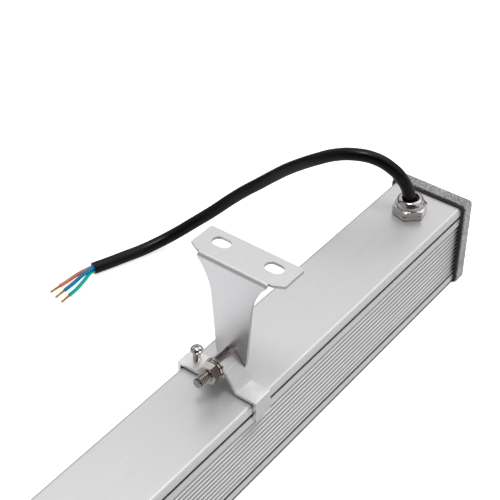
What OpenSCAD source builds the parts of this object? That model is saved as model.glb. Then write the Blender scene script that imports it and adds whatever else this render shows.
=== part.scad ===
// Linear wall washer light: a hollow aluminium bar with a glass front, closed by two cast end caps.
// Two clips slide in the bar's side grooves, and each carries a foot bracket that tilts about its bolt.
// A cable gland near one end lets out a short lead with three stripped cores.
// Millimetres, +Z up, the bar along Y and lying on its glass side, origin at the bottom centre.

/* [Bar] */
// Overall length over both end caps
total_len = 1000; // [700:10:1500]
// Width of the aluminium profile
bar_w = 46; // [45:0.5:56]
// Height of the aluminium profile
bar_h = 56; // [53:0.5:70]
// Wall thickness at the side lands
wall_t = 2.8; // [2.6:0.1:3.4]
// Thickness of the top wall
top_t = 2.4; // [1.8:0.1:3]
// Radius of the two upper edges
top_edge_r = 2.2; // [1:0.1:2.6]

/* [Side grooves] */
// Depth of the centre of the clip groove below the top
hook_groove_drop = 5.8; // [5.2:0.1:6.4]
// Width of the clip groove
hook_groove_w = 2; // [1.6:0.1:2.2]
// Depth of the clip groove into the wall
hook_groove_depth = 1.6; // [1.2:0.1:1.8]
// Plain land between the top and the first cooling flute
upper_land = 11.4; // [10.6:0.1:12.4]
// Plain land between the last cooling flute and the bottom
lower_land = 9.7; // [9.2:0.1:12]
// Aimed pitch of the cooling flutes
flute_pitch_aim = 3.2; // [2.6:0.1:4]
// Depth of a flute
flute_depth = 1.2; // [0.8:0.1:1.3]
// Width of the ridge left between two flutes
ridge_w = 0.4; // [0.3:0.1:0.8]
// Height of the lower groove above the bottom
lower_groove_rise = 7.9; // [7:0.1:8.2]
// Height of the fine line above the bottom
fine_line_rise = 1.9; // [1.6:0.1:2.4]
// Width and depth of the fine line
fine_line_w = 0.6; // [0.4:0.1:0.8]

/* [Glass front] */
// Thickness of the toughened glass
glass_t = 4; // [3:0.5:5]
// Depth of the glass inside the bottom edge
glass_recess = 2.2; // [1:0.1:3]
// Width of the silicone seal beside the glass
seal_w = 1.2; // [0.8:0.1:2]
// Reach of the ledge that the glass lies against
ledge_reach = 2.6; // [2:0.1:3.5]
// Thickness of that ledge
ledge_t = 1.5; // [1:0.1:2]

/* [Light engine] */
// Height of the shelf's underside above the bottom
shelf_rise = 20; // [19:0.5:22]
// Thickness of the shelf
shelf_t = 2.4; // [2:0.1:3]
// Gap beside the light board
led_board_gap = 5.2; // [4:0.1:7]
// Thickness of the light board
led_board_t = 1.6; // [1:0.1:2]
// Aimed pitch of the light sources
led_pitch_aim = 40; // [30:1:60]
// Side of one light source
led_side = 3.5; // [2.8:0.1:4]
// Height of one light source
led_h = 0.8; // [0.5:0.1:1.2]
// Radius of a lens at its lit face
lens_r = 10; // [8:0.1:11]
// Height of a lens from the board to its lit face
lens_h = 10; // [8.5:0.1:10.2]

/* [Driver] */
// Gap beside the driver board
driver_gap = 3.2; // [2.8:0.1:6]
// Length of the driver board
driver_len = 150; // [120:1:180]
// Thickness of the driver board
driver_t = 1.6; // [1.2:0.1:2]
// Height of the driver board's spacers
spacer_h = 4; // [3:0.1:5]
// Radius of a spacer
spacer_r = 3; // [2.5:0.1:3.5]
// Share of the room over the driver board that the transformer takes up
transformer_share = 0.66; // [0.4:0.01:0.8]
// Same, for the capacitors
capacitor_share = 0.5; // [0.3:0.01:0.7]
// Same, for the terminal block
terminal_share = 0.4; // [0.3:0.01:0.6]

/* [End caps] */
// Thickness of an end cap
cap_t = 7.2; // [6.6:0.1:10]
// Overhang of a cap past the sides
cap_side_lap = 2.4; // [1.5:0.1:3]
// Overhang of a cap past the top
cap_top_lap = 2.2; // [1.5:0.1:2.8]
// Radius of a cap's corners
cap_corner_r = 2.2; // [2.1:0.1:4]
// Rounding of a cap's outer edge
cap_edge_r = 1.2; // [0.6:0.1:2]
// Thickness of the gasket under a cap
gasket_t = 1.5; // [1:0.1:2.5]
// Part of a cap's side overhang that its gasket fills
gasket_side_share = 0.71; // [0:0.01:0.95]
// Same, of its overhang past the top
gasket_top_share = 0.5; // [0:0.01:0.95]
// Radius of a cap screw's shank
cap_screw_r = 2; // [1.5:0.1:2.2]
// Radius of a cap screw's head
cap_screw_head_r = 3.8; // [3:0.1:4]
// Length of a cap screw
cap_screw_len = 20; // [16:0.5:30]

/* [Cable gland] */
// Distance from the end of the bar's cap to the gland
gland_from_end = 29; // [26:0.5:60]
// Width of the gland's hexagons across their flats
gland_flats = 18; // [16:0.5:20]
// Thickness of the sealing ring under the gland
gland_seal_t = 0.5; // [0.4:0.1:1]
// Height of the gland body's hexagon
gland_hex_h = 2.4; // [2:0.1:4]
// Height of the dome nut's hexagon
nut_hex_h = 3.4; // [2.8:0.1:5]
// Height of the dome above the nut's hexagon
dome_h = 4.6; // [4:0.1:7]
// Radius of the dome at its foot
dome_r = 7.9; // [7.5:0.1:8.6]
// Radius of the dome's mouth
mouth_r = 5; // [4.8:0.1:5.4]
// Radius of the gland's threaded shank
gland_shank_r = 7.6; // [7:0.1:7.8]
// Length of the shank below the bar's top face
gland_shank_len = 9.4; // [8:0.1:11]
// Thickness of the lock nut inside the bar
lock_nut_t = 3; // [2:0.1:4]

/* [Cord] */
// Diameter of the cord's jacket
cord_d = 7.5; // [6:0.1:7.5]
// Diameter of a core's insulation
core_d = 2.4; // [1.8:0.1:2.4]
// Diameter of a core's bare copper
copper_d = 1.3; // [1:0.1:1.6]
// Length of the bare copper
copper_len = 7.5; // [5:0.5:12]

/* [Clips] */
// Distance from the end of the bar's cap to a clip's centre
clip_from_end = 205; // [150:1:240]
// Length of a clip along the bar
clip_len = 12; // [10:0.5:20]
// Thickness of a clip's walls
clip_t = 1.7; // [1.4:0.1:2.4]
// Gap between a clip's strap and the bar's top
strap_gap = 1.3; // [0.8:0.1:2]
// Depth of a clip's leg below the bar's top
leg_drop = 9.9; // [9:0.1:10.8]
// Thickness of the hook in the side groove
hook_t = 1.2; // [0.9:0.1:1.4]
// Running clearance between a clip and the bar
slide_gap = 0.3; // [0.2:0.05:0.35]
// Length of a clip's flat strap beside the hump
strap_run = 12; // [11:0.1:14]
// Height of the bolt's axis above the bar's top
bolt_rise = 13; // [12.5:0.1:16]
// Half width of the slot over the bolt
channel_half = 2.4; // [2:0.1:2.6]

/* [Clip fasteners] */
// Radius of the pivot bolt
bolt_r = 3; // [2.5:0.1:3.2]
// Length of the pivot bolt under its head
bolt_len = 30; // [28:0.5:40]
// Width of the bolt head and nut across their flats
bolt_flats = 10; // [8:0.5:11]
// Height of the bolt head
bolt_head_h = 4; // [3:0.1:4.5]
// Height of the nut
nut_h = 4.8; // [4:0.1:5.5]
// Turn of the nut from lying flat side up
nut_turn = 6; // [0:1:30]
// Radius of the flat washers
washer_r = 6; // [5.5:0.1:6.5]
// Thickness of the flat washers
washer_t = 1.2; // [0.8:0.1:1.6]
// Radius of the spring washer
spring_washer_r = 5.4; // [5:0.1:6]
// Thickness of the spring washer
spring_washer_t = 1.4; // [1:0.1:1.6]
// Distance of the lock screw from the clip's outer side
lock_screw_inset = 7; // [6:0.1:8]
// Radius of the lock screw's thread
lock_screw_r = 2; // [1.5:0.1:2.2]
// Length of the lock screw under its head
lock_screw_len = 9; // [7:0.5:12]
// Distance of the lock screw from the clip's middle, along the bar
lock_screw_shift = 1.1; // [-2:0.1:2]
// Radius of the lock screw's head
lock_head_r = 3.5; // [2.8:0.1:4]
// Height of the lock screw's head
lock_head_h = 2.6; // [2:0.1:3]

/* [Foot brackets] */
// Sheet thickness of a foot bracket
sheet_t = 1.6; // [1.2:0.1:2]
// Height of the foot plate's top above the bar's top
foot_rise = 68.3; // [62:0.1:76]
// Width of the foot plate
foot_w = 56.8; // [52:0.2:62]
// Depth of the foot plate from the web's face
foot_depth = 21.3; // [19:0.1:26]
// Width of the bend between web and foot plate
bend_w = 41.4; // [38:0.2:43]
// Outer radius of the bend
bend_r = 2.4; // [2.1:0.1:3]
// Width of the foot plate beside the bend
foot_root_w = 45.2; // [44:0.2:48]
// Distance from the web's face to where the foot plate has its full width
foot_corner = 5.2; // [4.5:0.1:6]
// Radius of the foot plate's outer corners
foot_corner_r = 1.5; // [0.5:0.1:3]
// Half width of the web's neck at the bolt
neck_half = 9.6; // [8.5:0.1:10.5]
// Half width of the web's neck at the shoulders
shoulder_half = 12.1; // [11:0.1:13.5]
// Height of the shoulders above the bolt
shoulder_rise = 33; // [28:0.5:36]
// Width of the fixing slots
slot_w = 7; // [5:0.1:7.5]
// Length of the fixing slots from end to end
slot_len = 10.5; // [9:0.1:13]
// Distance between the two slots' centres
slot_spacing = 32; // [28:0.5:36]
// Distance from the web's face to the slots' centres
slot_back = 13.5; // [12.5:0.1:15]

/* [Clearances] */
// Clearance round a screw or a leads' hole
hole_gap = 0.1; // [0.05:0.01:0.3]
// Radial clearance of the pivot bolt in the bracket
pivot_gap = 0.06; // [0.03:0.01:0.1]
// Clearance beside the tilting bracket
bracket_gap = 0.2; // [0.1:0.05:0.4]
// Clearance round the glass and the inner boards
fit_gap = 0.2; // [0.1:0.05:0.3]

/* [Hidden] */
$fn = 64;
// Overrun of every cut past the face that it opens
cut = 1;

// Colours
anodised = [0.80, 0.80, 0.81];
cast_grey = [0.66, 0.67, 0.67];
steel = [0.72, 0.70, 0.68];
nickel = [0.78, 0.75, 0.72];
black_rubber = [0.08, 0.08, 0.09];
board_green = [0.16, 0.38, 0.24];
board_white = [0.90, 0.91, 0.90];
copper = [0.80, 0.46, 0.28];

// Bar places
half_len = total_len/2;
cap_face_y = half_len - cap_t;
bar_end_y = cap_face_y - gasket_t;
bar_len = 2*bar_end_y;
half_w = bar_w/2;
inner_half = half_w - wall_t;
ceiling_z = bar_h - top_t;
flute_band = bar_h - upper_land - lower_land;
flute_count = round(flute_band/flute_pitch_aim);
flute_pitch = flute_band/flute_count;
// A flute is part of a circle through both its ridges
flute_half = (flute_pitch - ridge_w)/2;
flute_r = (flute_half*flute_half + flute_depth*flute_depth)/(2*flute_depth);
bottom_edge_r = 0.8;
port_wall = 0.9;

// Screw ports in the corners of the profile
port_bore_r = cap_screw_r + hole_gap;
port_r = port_bore_r + port_wall;
port_inset = 2.2;
port_x = inner_half - port_inset;
upper_port_z = ceiling_z - port_inset;
ledge_z = glass_recess + glass_t;
lower_port_z = ledge_z + ledge_t + port_inset;
port_places = [for (x = [-port_x, port_x]) for (z = [lower_port_z, upper_port_z]) [x, z]];

// Light engine places
led_board_z = shelf_rise - led_board_t;
led_board_w = 2*(inner_half - led_board_gap);
led_board_end_gap = 12;
led_board_len = bar_len - 2*led_board_end_gap;
led_count = floor((led_board_len - 2*lens_r)/led_pitch_aim) + 1;
led_span = (led_count - 1)*led_pitch_aim;
led_places = [for (i = [0:led_count - 1]) i*led_pitch_aim - led_span/2];
lens_bottom_z = led_board_z - lens_h;
lens_rim = 1;
lens_neck_r = 5.2;
lens_pocket_r = 3.4;
lens_pocket_h = 2.2;
lens_collar_h = 1.2;
board_screw_r = 1.5;
board_screw_head_r = 2.7;
board_screw_head_h = 1.8;
board_screw_step = 4*led_pitch_aim;
board_screw_count = floor((led_span - led_pitch_aim)/board_screw_step) + 1;
board_screw_places = [for (i = [0:board_screw_count - 1])
    led_places[0] + led_pitch_aim/2 + i*board_screw_step];

// Gland places
gland_y = half_len - gland_from_end;
gland_hole_r = gland_shank_r + hole_gap;
gland_flange_z = bar_h + gland_seal_t;
gland_nut_z = gland_flange_z + gland_hex_h;
gland_dome_z = gland_nut_z + nut_hex_h;
gland_top_z = gland_dome_z + dome_h;
gland_corner_r = gland_flats/sqrt(3);
// The hexagons' sides lie square to the view from the near corner
gland_turn = -21;
// The dome nut stops a little further round than the body
dome_nut_turn = 12;
dome_lip = 0.7;
gland_bore_r = cord_d/2 + 2*fit_gap;
insert_bore_r = cord_d/2 + hole_gap;
insert_r = mouth_r - hole_gap;
insert_h = nut_hex_h + 0.6*dome_h;

// Driver places
shelf_top_z = shelf_rise + shelf_t;
driver_z = shelf_top_z + spacer_h;
driver_top_z = driver_z + driver_t;
driver_w = 2*(inner_half - driver_gap);
driver_room = ceiling_z - driver_top_z;
driver_from_gland = 62;
driver_end_y = gland_y - driver_from_gland;
driver_y = driver_end_y - driver_len/2;
spacer_inset = 6;
terminal_len = 14;
terminal_w = 22;
terminal_h = terminal_share*driver_room;
terminal_inset = 2;
terminal_face_y = driver_end_y - terminal_inset;
terminal_pitch = 6.8;
terminal_well_r = 2;
terminal_mouth = 3;
bobbin_w = 22;
bobbin_len = 24;
bobbin_flange_t = 1.5;
bobbin_corner_r = 2;
core_w = 17;
core_leg = 6;
transformer_h = transformer_share*driver_room;
capacitor_r = 5;
capacitor_h = capacitor_share*driver_room;
capacitor_groove = 0.4;
lead_hole_r = 4;
lead_hole_back = 12;
lead_hole_y = driver_end_y - driver_len - lead_hole_back;
lead_d = 1.6;

// Clip places
clip_y = half_len - clip_from_end;
strap_z = bar_h + strap_gap;
strap_top_z = strap_z + clip_t;
leg_inner = half_w + slide_gap;
leg_outer = leg_inner + clip_t;
leg_bottom_z = bar_h - leg_drop;
hook_z = bar_h - hook_groove_drop;
hook_tip = half_w - hook_groove_depth + slide_gap;
bolt_z = bar_h + bolt_rise;
hump_half = leg_outer - strap_run;
lock_screw_x = leg_outer - lock_screw_inset;
channel_bore_r = bolt_r + hole_gap;
channel_r = channel_bore_r + clip_t;
// The slope of the hump is tangent to the channel
slope_base = [hump_half, strap_top_z - bolt_z];
slope_far = norm(slope_base);
slope_run = sqrt(slope_far*slope_far - channel_r*channel_r);
slope_turn = atan2(-slope_base[1], -slope_base[0]) - asin(channel_r/slope_far);
slope_dir = [cos(slope_turn), sin(slope_turn)];
slope_in = [-slope_dir[1], slope_dir[0]];
leg_edge_r = 0.7;

// Bracket places, measured along the bar from a clip's centre
web_near = clip_len/2 + bracket_gap;
web_far = web_near + sheet_t;
head_washer_y = web_far + bracket_gap;
bolt_head_y = head_washer_y + washer_t;
bolt_tip_y = bolt_head_y - bolt_len;
foot_top_z = bar_h + foot_rise;
web_top_z = foot_top_z - bend_r;
shoulder_z = bolt_z + shoulder_rise;
// The shoulder is an arc that runs tangent out of the neck's edge up to the bend
neck_turn = atan2(shoulder_half - neck_half, shoulder_rise);
shoulder_out = bend_w/2 - shoulder_half;
shoulder_up = web_top_z - shoulder_z;
shoulder_r = (shoulder_out*shoulder_out + shoulder_up*shoulder_up)
    /(2*(shoulder_out*cos(neck_turn) - shoulder_up*sin(neck_turn)));
shoulder_centre = [shoulder_half + shoulder_r*cos(neck_turn), shoulder_z - shoulder_r*sin(neck_turn)];

// Route of the cord: [x, distance along the bar from the gland, height above the floor]
cord_route = [
    [0, 0, 44], [0, 0, 53], [0, 0, 62], [-1.5, -1, 71], [-5, -3, 79], [-11, -6, 86], [-20, -10, 91],
    [-31, -15, 92.5], [-42, -19, 90], [-52, -22, 84.5], [-62, -23, 77.5], [-72, -24, 70], [-81, -25, 62],
    [-90, -27, 53], [-99, -30, 44], [-108, -33, 35], [-117, -38, 25.5], [-126, -45, 17], [-134, -54, 10],
    [-140, -64, 6], [-145, -75, 4], [-149, -86, 4], [-153, -97, 4], [-157, -107, 4]
];
// Height of the bar and of a resting cord for which those heights are given
route_bar_h = 56;
route_rest_z = 4;
// Routes of the three cores from just inside the jacket's end, each on the floor at its tip
brown_route = [
    [-158, -105, 5], [-159, -108.5, 5], [-161.5, -116, 3.5], [-163, -123, 2], [-164, -129.5, 1.5]
];
blue_route = [
    [-156.5, -105, 2.5], [-157.5, -109, 2.5], [-158, -116, 2], [-158.5, -124, 1.5], [-159, -131, 1.5]
];
earth_route = [
    [-155, -105.5, 5], [-156, -109.5, 5], [-155, -117, 3.5], [-154, -125, 2], [-153.5, -132.5, 1.5]
];
cord_sides = 10;
core_sides = 8;
// Direction that the cord never runs along, from which its rings take their turn
ring_reference = [1, -1, 0];

// Tube swept along a route: one ring of points square to the route at each of its points
function unit(v) = v/norm(v);
function route_dir(r, i) = unit(r[min(i + 1, len(r) - 1)] - r[max(i - 1, 0)]);
function ring(r, i, radius, sides) = let (
    t = route_dir(r, i),
    u = unit(cross(t, ring_reference)),
    v = cross(t, u)
) [for (k = [0:sides - 1]) r[i] + radius*(cos(360*k/sides)*u + sin(360*k/sides)*v)];

module tube(r, radius, sides) {
    points = [for (i = [0:len(r) - 1]) each ring(r, i, radius, sides)];
    last = (len(r) - 1)*sides;
    sides_faces = [for (i = [0:len(r) - 2]) for (k = [0:sides - 1]) let (
        a = i*sides + k,
        b = i*sides + (k + 1)%sides
    ) each [[a, b, b + sides], [a, b + sides, a + sides]]];
    start_face = [for (k = [sides - 1:-1:0]) k];
    end_face = [for (k = [0:sides - 1]) last + k];
    polyhedron(points = points, faces = concat(sides_faces, [start_face, end_face]), convexity = 6);
}

// A route given from the gland, placed on the bar, with what stands above the floor stretched to its height
function route_height(z) = z > route_rest_z
    ? route_rest_z + (z - route_rest_z)*(bar_h - route_rest_z)/(route_bar_h - route_rest_z) : z;
function from_gland(r) = [for (p = r) [p[0], p[1] + gland_y, route_height(p[2])]];
// The last point of a route carried on in its own direction
function tip_of(r) = let (n = len(r) - 1) r[n] + copper_len*unit(r[n] - r[n - 1]);

// Turns a profile drawn in X and Z into a bar centred on the origin of Y
module along_bar(length) {
    rotate([90, 0, 0])
        linear_extrude(height = length, center = true)
            children();
}

// Same, from a place on the bar and onwards along +Y
module from_place(y, length) {
    translate([0, y + length, 0])
        rotate([90, 0, 0])
            linear_extrude(height = length)
                children();
}

// Rectangle with a round at each corner, from its lower left corner
module rounded_rect(w, h, r) {
    translate([r, 0])
        square([w - 2*r, h]);
    translate([0, r])
        square([w, h - 2*r]);
    for (x = [r, w - r]) for (y = [r, h - r])
        translate([x, y])
            circle(r = r);
}

// Outline of the bar: small rounds at the bottom, larger ones at the top
module bar_outline() {
    translate([-half_w, bottom_edge_r])
        square([bar_w, bar_h - bottom_edge_r - top_edge_r]);
    translate([-half_w + bottom_edge_r, 0])
        square([bar_w - 2*bottom_edge_r, bar_h/2]);
    translate([-half_w + top_edge_r, bar_h/2])
        square([bar_w - 2*top_edge_r, bar_h/2]);
    for (s = [-1, 1]) {
        translate([s*(half_w - bottom_edge_r), bottom_edge_r])
            circle(r = bottom_edge_r);
        translate([s*(half_w - top_edge_r), bar_h - top_edge_r])
            circle(r = top_edge_r);
    }
}

// Rectangle between two heights, symmetric about the bar's middle plane
module span(half, low, high) {
    translate([-half, low])
        square([2*half, high - low]);
}

// Cuts of one side face: clip groove, cooling flutes, lower groove and fine line
module side_cuts() {
    translate([half_w - hook_groove_depth, hook_z - hook_groove_w/2])
        square([hook_groove_depth + cut, hook_groove_w]);
    for (i = [0:flute_count - 1])
        translate([half_w - flute_depth + flute_r, lower_land + (i + 0.5)*flute_pitch])
            circle(r = flute_r);
    translate([half_w - hook_groove_depth, lower_groove_rise - hook_groove_w/2])
        square([hook_groove_depth + cut, hook_groove_w]);
    translate([half_w - fine_line_w, fine_line_rise - fine_line_w/2])
        square([fine_line_w + cut, fine_line_w]);
}

module bar_profile() {
    difference() {
        union() {
            difference() {
                bar_outline();
                span(inner_half, -cut, ledge_z);
                span(inner_half - ledge_reach, ledge_z - cut, ledge_z + ledge_t + cut);
                span(inner_half, ledge_z + ledge_t, shelf_rise);
                span(inner_half, shelf_top_z, ceiling_z);
            }
            for (p = port_places)
                translate(p)
                    circle(r = port_r);
        }
        for (p = port_places)
            translate(p)
                circle(r = port_bore_r);
        side_cuts();
        mirror([1, 0])
            side_cuts();
    }
}

module housing() {
    color(anodised)
        difference() {
            along_bar(bar_len)
                bar_profile();
            translate([0, gland_y, ceiling_z - cut])
                cylinder(r = gland_hole_r, h = top_t + 2*cut);
            translate([0, lead_hole_y, shelf_rise - cut])
                cylinder(r = lead_hole_r, h = shelf_t + 2*cut);
            for (y = board_screw_places)
                translate([0, y, shelf_rise - cut])
                    cylinder(r = board_screw_r + hole_gap, h = shelf_t + 2*cut);
        }
}

glass_half = inner_half - seal_w;
glass_end_gap = 3;
glass_len = bar_len - 2*glass_end_gap;

module glass_cover() {
    color([0.86, 0.93, 0.93, 0.45])
        along_bar(glass_len)
            span(glass_half, glass_recess, ledge_z);
}

// Silicone frame that fills the gap round the glass
module glass_seal() {
    color([0.85, 0.86, 0.86])
        difference() {
            along_bar(bar_len)
                span(inner_half, glass_recess, ledge_z);
            along_bar(glass_len)
                span(glass_half, glass_recess - cut, ledge_z + cut);
        }
}

module led_board() {
    color(board_white)
        difference() {
            along_bar(led_board_len)
                span(led_board_w/2, led_board_z, shelf_rise);
            for (y = board_screw_places)
                translate([0, y, led_board_z - cut])
                    cylinder(r = board_screw_r + hole_gap, h = led_board_t + 2*cut);
        }
}

module led_packages() {
    for (y = led_places) {
        color([0.95, 0.93, 0.80])
            translate([-led_side/2, y - led_side/2, led_board_z - led_h])
                cube([led_side, led_side, led_h]);
    }
}

// One moulded lens: a cone that widens towards the glass, with a collar that stands on the board
module lens() {
    rotate_extrude()
        polygon([
            [0, lens_bottom_z], [lens_r, lens_bottom_z], [lens_r, lens_bottom_z + lens_rim],
            [lens_neck_r, led_board_z - lens_collar_h], [lens_neck_r, led_board_z],
            [lens_pocket_r, led_board_z], [lens_pocket_r, led_board_z - lens_pocket_h],
            [0, led_board_z - lens_pocket_h]
        ]);
}

module lenses() {
    color([0.92, 0.95, 0.97, 0.6])
        for (y = led_places)
            translate([0, y, 0])
                lens();
}

module board_screws() {
    color(steel)
        for (y = board_screw_places)
            translate([0, y, 0]) {
                translate([0, 0, led_board_z - board_screw_head_h])
                    cylinder(r = board_screw_head_r, h = board_screw_head_h);
                translate([0, 0, led_board_z - board_screw_head_h])
                    cylinder(r = board_screw_r, h = board_screw_head_h + led_board_t + shelf_t);
            }
}

spacer_places = [for (s = [-1, 1]) for (e = [-1, 1])
    [s*(driver_w/2 - spacer_inset), driver_y + e*(driver_len/2 - spacer_inset), shelf_top_z]];

module driver_board() {
    color(board_green)
        translate([-driver_w/2, driver_y - driver_len/2, driver_z])
            cube([driver_w, driver_len, driver_t]);
}

module driver_spacers() {
    color(board_white)
        for (p = spacer_places)
            translate(p)
                cylinder(r = spacer_r, h = spacer_h, $fn = 6);
}

// Wound bobbin between two flanges, inside a ring-shaped ferrite core
module driver_transformer() {
    flange_h = transformer_h - core_leg/2;
    coil_w = bobbin_w - 2*bobbin_flange_t;
    coil_len = bobbin_len - 2*bobbin_flange_t;
    translate([0, driver_y, driver_top_z]) {
        color([0.85, 0.75, 0.30]) {
            for (z = [0, flange_h - bobbin_flange_t])
                translate([-bobbin_w/2, -bobbin_len/2, z])
                    linear_extrude(height = bobbin_flange_t)
                        rounded_rect(bobbin_w, bobbin_len, bobbin_corner_r);
            translate([-coil_w/2, -coil_len/2, 0])
                linear_extrude(height = flange_h)
                    rounded_rect(coil_w, coil_len, bobbin_corner_r);
        }
        color([0.20, 0.20, 0.21])
            translate([0, 0, transformer_h/2])
                rotate([90, 0, 90])
                    linear_extrude(height = core_w, center = true)
                        difference() {
                            square([bobbin_len + core_leg, transformer_h], center = true);
                            square([bobbin_len, transformer_h - core_leg], center = true);
                        }
    }
}

// Can capacitors, each with its sleeve drawn in round the rubber bung
module driver_capacitors() {
    color([0.20, 0.22, 0.30])
        for (e = [-1, 1])
            translate([0, driver_y + e*driver_len/4, driver_top_z])
                rotate_extrude()
                    difference() {
                        square([capacitor_r, capacitor_h]);
                        translate([capacitor_r + capacitor_groove, 4*capacitor_groove])
                            circle(r = 2*capacitor_groove);
                    }
}

// Three-way screw terminal: a mouth for each core and a screw well over it
module terminal_block() {
    color([0.20, 0.45, 0.30])
        translate([0, terminal_face_y, driver_top_z])
            difference() {
                translate([-terminal_w/2, -terminal_len, 0])
                    cube([terminal_w, terminal_len, terminal_h]);
                for (i = [-1:1])
                    translate([i*terminal_pitch, 0, 0]) {
                        translate([0, -terminal_len/2, terminal_h/2])
                            cylinder(r = terminal_well_r, h = terminal_h/2 + cut);
                        translate([-terminal_mouth/2, -terminal_len/4, terminal_h/2 - terminal_mouth/2])
                            cube([terminal_mouth, terminal_len/4 + cut, terminal_mouth]);
                    }
            }
}

// The three cores inside the bar, from the cord's inner end to the terminal block
module inner_leads() {
    cord_start_z = route_height(cord_route[0][2]);
    lead_z = driver_top_z + terminal_h/2;
    lead_step = core_d + lead_d;
    for (i = [-1:1]) {
        x_in = i*lead_step*0.6;
        x_out = i*terminal_pitch;
        sag = (cord_start_z - lead_z)/3;
        run = gland_y - terminal_face_y;
        route = [
            [x_in, gland_y, cord_start_z], [x_in, gland_y, cord_start_z - sag],
            [x_in, gland_y - 0.12*run, lead_z + sag], [x_in, gland_y - 0.4*run, lead_z],
            [x_out, gland_y - 0.85*run, lead_z], [x_out, terminal_face_y - terminal_len/4, lead_z]
        ];
        color([0.35 + 0.2*i, 0.30, 0.35 - 0.1*i])
            tube(route, lead_d/2, core_sides);
    }
}

// Two leads from the driver board through the shelf to the light board
module board_leads() {
    lead_top_z = driver_top_z + lead_d/2;
    board_end_y = driver_end_y - driver_len;
    for (s = [-1, 1]) {
        x = s*lead_d;
        route = [
            [x, board_end_y + lead_d, lead_top_z], [x, board_end_y - 2*lead_d, lead_top_z],
            [x, lead_hole_y + lead_d, lead_top_z - lead_d], [x, lead_hole_y, driver_z - lead_d],
            [x, lead_hole_y, shelf_rise]
        ];
        color(s < 0 ? [0.75, 0.12, 0.10] : [0.10, 0.10, 0.11])
            tube(route, lead_d/2, core_sides);
    }
}

cap_w = bar_w + 2*cap_side_lap;
cap_h = bar_h + cap_top_lap;

// Section of a cap's edge: a plate from Y = 0 outwards with a round at each end of its outer face
module cap_section(half) {
    straight = cap_t - cap_edge_r;
    translate([-half, 0])
        square([2*half, straight]);
    translate([-half + cap_edge_r, 0])
        square([2*half - 2*cap_edge_r, cap_t]);
    for (s = [-1, 1])
        translate([s*(half - cap_edge_r), straight])
            circle(r = cap_edge_r);
}

// Cast end cap standing on the floor with its inner face at Y = 0, and its rounded face outwards
module end_cap() {
    post_x = cap_w/2 - cap_corner_r;
    difference() {
        union() {
            // Upright middle slab, level middle slab and a round post in each corner
            translate([0, 0, cap_corner_r])
                linear_extrude(height = cap_h - 2*cap_corner_r)
                    cap_section(cap_w/2);
            translate([-post_x, 0, cap_h/2])
                rotate([0, 90, 0])
                    linear_extrude(height = 2*post_x)
                        cap_section(cap_h/2);
            for (x = [-post_x, post_x])
                for (z = [cap_corner_r, cap_h - cap_corner_r])
                    translate([x, 0, z])
                        rotate([-90, 0, 0])
                            rotate_extrude()
                                intersection() {
                                    cap_section(cap_corner_r);
                                    square([cap_corner_r, cap_t]);
                                }
        }
        for (p = port_places)
            translate([p[0], 0, p[1]])
                rotate([-90, 0, 0]) {
                    translate([0, 0, -cut])
                        cylinder(r = port_bore_r, h = cap_t + 2*cut);
                    translate([0, 0, cap_t - cap_screw_head_r + cap_screw_r - hole_gap])
                        cylinder(r1 = port_bore_r, r2 = cap_screw_head_r + cut,
                            h = cap_screw_head_r + cut - port_bore_r);
                }
    }
}

// Puts a piece that is drawn at the near end, with Y from the cap's inner face, at either end
module at_end(far) {
    rotate([0, 0, far ? 180 : 0])
        translate([0, cap_face_y, 0])
            children();
}

module end_cap_near() { color(cast_grey) at_end(false) end_cap(); }
module end_cap_far() { color(cast_grey) at_end(true) end_cap(); }

gasket_inset = 0.4;
gasket_wall = 8;
gasket_half = half_w + gasket_side_share*cap_side_lap;
gasket_top_z = bar_h + gasket_top_share*cap_top_lap;

// Flat gasket between a cap and the end of the bar, which shows as a black line round the bar's end
module end_gasket() {
    difference() {
        from_place(-gasket_t, gasket_t)
            difference() {
                translate([-gasket_half, gasket_inset])
                    rounded_rect(2*gasket_half, gasket_top_z - gasket_inset, cap_corner_r);
                translate([-half_w + gasket_wall, gasket_wall])
                    square([bar_w - 2*gasket_wall, bar_h - 2*gasket_wall]);
                for (p = port_places)
                    translate(p)
                        circle(r = port_bore_r);
            }
    }
}

module end_gasket_near() { color(black_rubber) at_end(false) end_gasket(); }
module end_gasket_far() { color(black_rubber) at_end(true) end_gasket(); }

// Countersunk screw whose head lies flush in the cap, along -Y from the cap's outer face
module cap_screw() {
    head_h = cap_screw_head_r - cap_screw_r;
    rotate([90, 0, 0]) {
        cylinder(r1 = cap_screw_head_r, r2 = cap_screw_r, h = head_h);
        cylinder(r = cap_screw_r, h = cap_screw_len);
    }
}

module cap_screws() {
    color(steel)
        for (far = [false, true])
            at_end(far)
                for (p = port_places)
                    translate([p[0], cap_t - hole_gap, p[1]])
                        cap_screw();
}

// Hexagonal prism with both its ends' corners turned off at 30 degrees
module hexagon(flats, h, chamfer) {
    corner_r = flats/sqrt(3);
    rim_r = corner_r + cut/4;
    rise = (rim_r - corner_r + chamfer)*tan(30);
    intersection() {
        cylinder(r = corner_r, h = h, $fn = 6);
        rotate_extrude()
            polygon([
                [0, 0], [corner_r - chamfer, 0], [rim_r, rise], [rim_r, h - rise],
                [corner_r - chamfer, h], [0, h]
            ]);
    }
}

gland_chamfer = gland_corner_r - gland_flats/2;

module at_gland(z) {
    translate([0, gland_y, z])
        rotate([0, 0, gland_turn])
            children();
}

module gland_seal() {
    color(black_rubber)
        at_gland(bar_h)
            difference() {
                cylinder(r = gland_flats/2 - fit_gap, h = gland_seal_t);
                translate([0, 0, -cut])
                    cylinder(r = gland_hole_r, h = gland_seal_t + 2*cut);
            }
}

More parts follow.
